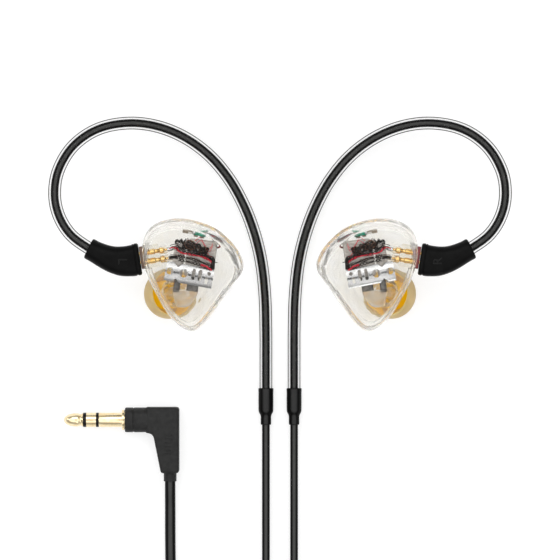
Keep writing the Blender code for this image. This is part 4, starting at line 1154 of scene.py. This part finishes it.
def can_shape(size, centre):
    """A driver's can: a lid crimped over a cup, and two terminals."""
    width, length, height = size
    half, seam = 0.5 * height, 0.12 * height
    levels = (  # height, and how far in from the seam
        (-half, 0.3), (-half + 0.08, 0.12), (-half + 0.25, 0.08), (seam, 0.08), (seam + 0.04, 0.0),
        (seam + 0.22, 0.0), (seam + 0.26, 0.08), (half - 0.25, 0.08), (half - 0.08, 0.14), (half, 0.35),
    )  # fmt: skip
    rings = []
    for z, inset in levels:
        section = rounded_section(width - 2 * inset, length - 2 * inset, 72, 9)
        rings.append([centre + CAN_TURN @ Vector((x, y, z)) for x, y in section])
    shape = Shape().rings(rings)
    lid = (width - 1.4, length - 1.8, 0.12)
    shape.block(lid, centre + CAN_TURN @ Vector((0, 0, height / 2 + 0.03)), CAN_TURN, 0.05)
    for k in (-1, 1):
        dot = centre + CAN_TURN @ Vector((k * (width / 2 - 0.7), length / 2 - 0.9, height / 2))
        shape.turned([(0.3, -0.1), (0.3, 0.06), (0.18, 0.12), (0.02, 0.14)], dot, (0, 0, 1), 16)
    return shape


def port_shape(size, centre, port, across):
    """A driver's sound port, that far across from the can's middle, with a lip at its mouth."""
    width, length, height = port
    stations = []
    for along, flare in ((-PORT_ROOT, 0.0), (length - 0.25, 0.0), (length - 0.2, 0.08), (length, 0.08)):
        spot = centre + CAN_TURN @ Vector((across, -size[1] / 2 - along, 0))
        stations.append((spot, CAN_TURN @ Vector((0, -1, 0)), width + flare, height + flare, 4))
    return Shape().swept(stations, 40)


def waveguide_shape():
    """The frosted sound tube: a broad mouth round the driver ports, narrowing to the nozzle."""
    down = NOZZLE_DIRECTION
    rows = [
        ((-1.5, -4.1, 0.1), (0, -1, -0.1), 6.0, 2.3, 4.5),
        ((-1.5, -4.9, -0.05), (0, -1, -0.2), 5.9, 2.3, 4.0),
        ((-1.6, -5.95, -0.45), (0, -1, -0.4), 5.0, 2.3, 3.5),
        ((-1.8, -6.8, -1.05), (0, -1, -0.7), 4.1, 2.3, 3.0),
        ((-2.3, -7.2, -1.9), (-0.2, -0.5, -1), 3.2, 2.3, 2.5),
        ((-2.9, -6.6, -2.8), (-0.3, 0.5, -1), 2.6, 2.2, 2.0),
        (NOZZLE_ROOT - down * 0.5, down, 2.3, 2.3, 2.0),
        (NOZZLE_ROOT + down * 1.0, down, 2.3, 2.3, 2.0),
    ]
    rings = []
    for centre, direction, width, height, power in stations_between(rows, 5):
        x = direction.normalized()
        y = (Vector((1, 0, 0)) - x * x.x).normalized()
        z = x.cross(y)
        section = rounded_section(width, height, 48, power)
        rings.append([local(*centre) + y * a + z * b for a, b in section])
    return Shape().rings(rings)


BADGE_LENGTH, BADGE_WIDTH, BADGE_BOW, BADGE_THICK = 11.5, 4.6, 0.58, 0.25
BADGE_TURN = spun(-10.3)
BADGE_ROWS, BADGE_COLUMNS = 24, 72


def badge_shape():
    """A polished strip, bowed across its width. Each ring runs along its face and back underneath."""
    middle = local(-0.5, -0.5, 2.62)
    rings = []
    for i in range(BADGE_ROWS + 1):
        v = i / BADGE_ROWS - 0.5
        ring = []
        for thick in (0.0, -BADGE_THICK):
            bow = thick - BADGE_BOW * 4 * v * v
            places = [k / BADGE_COLUMNS - 0.5 for k in range(BADGE_COLUMNS + 1)]
            row = [middle + BADGE_TURN @ Vector((u * BADGE_LENGTH, v * BADGE_WIDTH, bow)) for u in places]
            ring += row[::-1] if thick else row
        rings.append(ring)
    return Shape().rings(rings)


def badge_cutters():
    """The plain row of holes, slots and notches through the strip."""
    middle = local(-0.5, -0.5, 2.1)
    shape = Shape()
    for along, across, radius in ((-4.7, 0.1, 0.8), (-1.35, 0.1, 0.95), (4.6, 1.1, 0.4)):
        spot = middle + BADGE_TURN @ Vector((along, across, -1.5))
        shape.turned([(radius, 0), (radius, 4)], spot, (0, 0, 1), 48)
    for along, across, size in ((1.0, 0.3, (0.75, 2.6)), (2.55, 0.3, (0.75, 2.6)), (4.2, -0.6, (0.7, 1.6))):
        spot = middle + BADGE_TURN @ Vector((along, across, 0.5))
        shape.block((*size, 4), spot, BADGE_TURN, 0.01, 4, 32)
    for along, across, size in ((-3.0, 2.3, 1.3), (-3.0, -2.3, 1.3), (5.75, 0.4, 0.35), (5.75, -0.7, 0.35)):
        spot = middle + BADGE_TURN @ Vector((along, across, 0.5))
        shape.block((size, size, 4), spot, BADGE_TURN @ spun(45), 0.01, 12, 32)
    return shape


def add_badges():
    for side in SIDES:
        badge = piece(f"{side}_badge_strip", badge_shape(), "strip", side)
        cut(badge, piece(f"{side}_badge_cut", badge_cutters(), "strip", side))
        place(badge, f"{side}_earpiece", "polished_steel", f"{side}_badge_plate")


BOARD_TURN = spun(-12)
BOARD_MIDDLE = Vector((1.9, 9.2, 0.7))


def on_board(x, y, z):
    return SHELL_MIDDLE + BOARD_MIDDLE + BOARD_TURN @ Vector((x, y, z))


def board_shape():
    return Shape().block((3.2, 0.8, 2.2), on_board(0, 0, 0), BOARD_TURN, 0.05, 14)


def chips_shape():
    """The crossover's parts: two on the board's face, one on its edge, and one on two leads."""
    shape = Shape()
    for x, z, size in ((-0.8, -0.1, (1.0, 0.4, 0.6)), (0.7, -0.3, (1.1, 0.4, 0.7))):
        shape.block(size, on_board(x, -0.6, z), BOARD_TURN, 0.06, 10, 24)
    shape.block((0.6, 0.5, 0.35), on_board(1.2, 0.0, 1.2), BOARD_TURN, 0.06, 10, 24)
    shape.block((1.3, 0.75, 0.75), on_board(-3.4, -0.1, 0.9), BOARD_TURN, 0.12, 8, 24)
    for y in (-0.15, 0.15):
        shape.tube([on_board(x, y - 0.1, 0.9) for x in (-2.9, -2.3, -1.5)], 0.08, 8)
    return shape


def solder_shape():
    """Solder on the board's pads, the drivers' terminals and the backs of the contacts."""
    shape = Shape()
    blob = [(0.34, -0.12), (0.33, 0.05), (0.24, 0.2), (0.12, 0.27), (0.02, 0.29)]
    for x in (-1.3, 1.45):
        shape.turned(blob, on_board(x, 0.0, 1.1), (0, 0, 1), 20)
    for x, y in ((-2.9, 7.0), (-2.0, 6.9), (0.3, 7.3), (1.3, 7.2)):
        shape.turned(blob, local(x, y, 1.55), (0, 0, 1), 20)
    joint = [(0.2, -0.2), (0.45, 0.0), (0.56, 0.4), (0.5, 0.8), (0.52, 1.1), (0.36, 1.5), (0.1, 1.7)]
    for side in (-1, 1):
        shape.turned(joint, on_contact(side, 6.6), PIN_DIRECTION, 24)
    return shape


def contact_shape(side):
    """A turned socket contact: knurled barrel, neck, shank and a hollow tail."""
    profile = [
        (0.45, 0.15), (0.62, 0.15), (0.66, 0.2), (0.66, 0.75), (0.58, 0.82), (0.58, 0.95), (0.66, 1.02),
        (0.66, 2.1), (0.62, 2.2), (0.5, 2.3), (0.48, 2.4), (0.48, 2.95), (0.62, 3.12), (0.66, 3.2),
        (0.66, 4.5), (0.6, 4.6), (0.34, 4.7), (0.32, 4.8), (0.32, 5.3), (0.2, 5.3), (0.2, 4.4), (0.45, 4.2),
    ]  # fmt: skip
    return Shape().turned(profile, on_contact(side, 1.45), PIN_DIRECTION, 48, loop=True)


WIRE_CEILING, WIRE_STEP, WIRE_SIDES = SEAM_HEIGHT - 0.05, 0.35, 6
TO_UPPER = [(-5.3, 5.65, 0.9), (-4.9, 5.9, 1.6), (-3.9, 6.1, 2.0)]
TO_LOWER = [(-5.1, 3.6, 0.9), (-4.7, 3.8, 1.6), (-3.2, 3.7, 2.0)]
OVER_DRIVERS = [(-3.9, 6.1, 2.0), (-2.3, 4.8, 2.4), (0.2, 4.3, 2.5), (2.7, 3.8, 2.5), (4.5, 2.8, 2.4),
                (4.9, 2.2, 1.6)]  # fmt: skip
BELOW_THAT = [(-3.2, 3.7, 2.0), (-1.2, 3.2, 2.3), (1.2, 2.6, 2.4), (3.4, 1.8, 2.4), (5.1, 1.0, 1.5)]
ALONG_RIM = [(3.1, 8.9, 1.5), (4.3, 8.6, 1.6), (5.6, 7.9, 1.5), (6.6, 7.0, 1.1), (6.6, 6.2, 0.8),
             (5.6, 6.0, 0.5)]  # fmt: skip
RED_TO_RIM = [(1.2, 7.2, 1.9), (2.4, 7.9, 2.0), (3.2, 6.6, 2.2), (4.3, 5.2, 2.1), (5.1, 5.9, 1.9),
              (5.4, 6.6, 1.6)]  # fmt: skip
RED_AT_END = [(2.4, 4.1, 2.3), (3.8, 4.6, 2.2), (4.4, 3.8, 2.1), (5.3, 3.6, 1.6)]
RED_BELOW = [(2.3, 1.95, 2.5), (3.5, 1.5, 2.5), (4.6, 0.8, 2.3), (5.3, 0.5, 1.5)]
BLACK_LOOP = [(-3.9, 6.9, 1.6), (-3.6, 7.7, 1.8), (-3.0, 7.5, 1.9), (-2.9, 6.9, 1.8)]
BLACK_TO_PAD = [(-2.5, 8.0, 1.8), (-2.0, 7.3, 2.0), (-1.3, 6.6, 2.2), (-0.3, 6.2, 2.3)]
BLACK_AT_END = [(4.7, 3.6, 2.2), (5.2, 2.8, 2.1), (5.1, 1.7, 2.1), (4.9, 0.7, 1.7)]


def strayed(draw, stray, flatness):
    return Vector((draw.gauss(0, stray), draw.gauss(0, stray), draw.gauss(0, stray * flatness)))


def strand(shape, draw, route, radius, stray):
    """One fine wire that strays from a route, and never leaves the room over the drivers."""
    loose = [Vector(route[0])]
    for a, b in zip(route, route[1:]):
        a, b = Vector(a), Vector(b)
        count = max(1, round((b - a).length / 1.1))
        for i in range(1, count + 1):
            loose.append(a.lerp(b, i / count) + strayed(draw, stray, 0.4))
    for p in loose:
        p.z = min(p.z, WIRE_CEILING - radius)
    shape.tube([p + SHELL_MIDDLE for p in smooth_route(loose, WIRE_STEP)], radius, WIRE_SIDES)


def bundle_shape(seed, plans):
    """Wires of one colour. Each plan is a route, how many strands, how far they stray, and
    their radius."""
    draw = random.Random(seed)
    shape = Shape()
    for route, count, stray, radius in plans:
        for _ in range(count):
            shift = strayed(draw, stray, 0.5)
            strand(shape, draw, [Vector(p) + shift for p in route], radius, stray * 0.45)
    return shape


def twisted(shape, route, strands, lay, pitch, radius):
    """Strands laid loosely round each other along a route, a turn every pitch."""
    step = 0.2
    line = smooth_route([SHELL_MIDDLE + Vector(p) for p in route], step)
    for k in range(strands):
        points = []
        for i, (p, turn) in enumerate(zip(line, frames_along(line))):
            a = 2 * math.pi * (k / strands + i * step / pitch)
            loose = lay * (1 + 0.5 * math.sin(1.7 * i * step + k))
            points.append(p + turn @ Vector((0, loose * math.cos(a), loose * math.sin(a))))
        shape.tube(points, radius, WIRE_SIDES)
    return shape


def shifted(route, x, y):
    return [(p[0] + x, p[1] + y, p[2]) for p in route]


PAD_TURN = spun(-26)


def tangle_shape(seed, middle, size, count, radius):
    """Spare wire pressed into a flat pad, each strand wandering to and fro across it."""
    draw = random.Random(seed)
    shape = Shape()
    for _ in range(count):
        x, way, points = draw.uniform(-0.5, 0.5), draw.choice((-1, 1)), []
        for _ in range(draw.randint(5, 9)):
            x += way * draw.uniform(0.08, 0.3)
            if abs(x) > 0.5:
                x, way = math.copysign(0.5, x), -way
            y, z = draw.uniform(-0.5, 0.5), draw.uniform(-0.5, 0.5)
            p = Vector(middle) + PAD_TURN @ Vector((x * size[0], y * size[1], z * size[2]))
            points.append(p + SHELL_MIDDLE)
        shape.tube(smooth_route(points, 0.3), radius, WIRE_SIDES)
    return shape


def red_wires():
    shape = bundle_shape(7, [
        ([*TO_UPPER, *OVER_DRIVERS], 1, 0.14, 0.1), (ALONG_RIM, 2, 0.1, 0.1),
        (RED_TO_RIM, 2, 0.25, 0.06), (RED_AT_END, 1, 0.1, 0.08),
    ])  # fmt: skip
    twisted(shape, OVER_DRIVERS, 2, 0.18, 1.3, 0.11)
    return twisted(shape, RED_BELOW, 3, 0.13, 1.5, 0.12)


def black_wires():
    shape = bundle_shape(11, [
        (TO_LOWER, 4, 0.14, 0.11), ([*TO_UPPER, *OVER_DRIVERS], 3, 0.35, 0.1), (BLACK_LOOP, 3, 0.14, 0.13),
        (BLACK_TO_PAD, 5, 0.16, 0.12), (BLACK_AT_END, 9, 0.22, 0.13), (ALONG_RIM, 3, 0.14, 0.11),
    ])  # fmt: skip
    for x, y, pitch in ((0.0, 0.4, 1.3), (0.2, -0.5, 1.6)):
        twisted(shape, shifted(BELOW_THAT, x, y), 2, 0.26, pitch, 0.1)
    twisted(shape, shifted(OVER_DRIVERS, 0.1, 0.25), 2, 0.34, 1.9, 0.08)
    return shape.joined(tangle_shape(5, (0.9, 6.0, 2.3), (5.8, 2.7, 0.9), 13, 0.1))


def copper_wires():
    shape = tangle_shape(3, (0.9, 6.1, 2.3), (5.2, 2.5, 0.8), 6, 0.08)
    plans = [([*TO_LOWER, *BELOW_THAT], 1, 0.3, 0.07), (ALONG_RIM, 1, 0.1, 0.09)]
    return shape.joined(bundle_shape(13, plans))


INSIDE_PIECES = (  # name, shape, look, material slot, and the CAD node that it stands for
    ("sound_tube", waveguide_shape, "frosted", "frosted_resin", "waveguide"),
    ("green_board", board_shape, "board", "circuit_green", "crossover_board"),
    ("board_chips", chips_shape, "chip", "circuit_green", ""),
    ("solder_blobs", solder_shape, "solder", "polished_steel", ""),
    ("socket_resin", socket_resin_shape, "block", "frosted_resin", "socket_block"),
    ("upper_contact_fine", partial(contact_shape, 1), "gold", "gold_plate", "upper_contact"),
    ("lower_contact_fine", partial(contact_shape, -1), "gold", "gold_plate", "lower_contact"),
    ("red_strands", red_wires, "red_wire", "red_enamel", "red_wire"),
    ("black_strands", black_wires, "black_wire", "black_enamel", "black_wire"),
    ("copper_strands", copper_wires, "copper_wire", "black_enamel", ""),
)


def add_inside():
    for name, size, centre, port, across in DRIVERS:
        can, snout = partial(can_shape, size, centre), partial(port_shape, size, centre, port, across)
        pair(f"{name}_can", can, "can", "earpiece", "driver_steel", f"{name}_driver")
        # The ports' darker steel is painted shade.
        pair(f"{name}_port", snout, "port", "earpiece", "driver_steel")
    for name, build, look, slot, node in INSIDE_PIECES:
        pair(name, build, look, "earpiece", slot, node)


# ---------------------------------------------------------------- eartips


def on_nozzle(profile, shape=None):
    """A turned form round the nozzle's axis."""
    shape = shape or Shape()
    return shape.turned(profile, SHELL_MIDDLE + NOZZLE_ROOT, NOZZLE_DIRECTION, 96, loop=True)


def skirt_shape():
    """The dome's wall, thin and open towards the shell, and the web that joins it to the stem."""
    profile = [
        (2.75, 8.95), (4.0, 8.45), (5.2, 7.4), (5.9, 5.8), (6.05, 4.4), (6.0, 3.0), (5.8, 1.9),
        (5.5, 1.7), (5.35, 2.0), (5.45, 3.3), (5.4, 4.4), (5.25, 5.7), (4.6, 7.15), (3.6, 8.1),
        (2.75, 8.5),
    ]  # fmt: skip
    web = [(3.2, 6.3), (3.9, 6.2), (4.5, 5.7), (4.75, 5.2), (4.6, 5.9), (4.1, 6.6), (3.3, 6.8)]
    return on_nozzle(softened(web), on_nozzle(softened(profile)))


def core_shape():
    """The amber stem that grips the nozzle, and the lining that it carries inside the dome."""
    profile = [
        (2.72, 1.8), (2.72, 6.5), (1.8, 6.6), (1.8, 8.6), (2.6, 8.6), (2.6, 8.3), (3.4, 7.95),
        (4.0, 7.5), (4.75, 6.6), (5.2, 5.4), (5.35, 4.4), (5.3, 2.9), (5.0, 2.9),
        (4.95, 4.5), (4.6, 5.8), (3.4, 6.7), (3.4, 1.8),
    ]  # fmt: skip
    return on_nozzle(softened(profile, 1))


def add_eartips():
    pair("dome_skirt", skirt_shape, "cream", "eartip", "cream_silicone", "tip_skirt")
    pair("dome_core", core_shape, "amber", "eartip", "amber_silicone", "tip_core")


# ---------------------------------------------------------------- the whole scene


def main():
    add_studio()
    add_free_cables()
    add_hooks_and_connectors()
    add_shells()
    add_inside()
    add_badges()
    add_eartips()
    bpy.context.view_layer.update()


main()
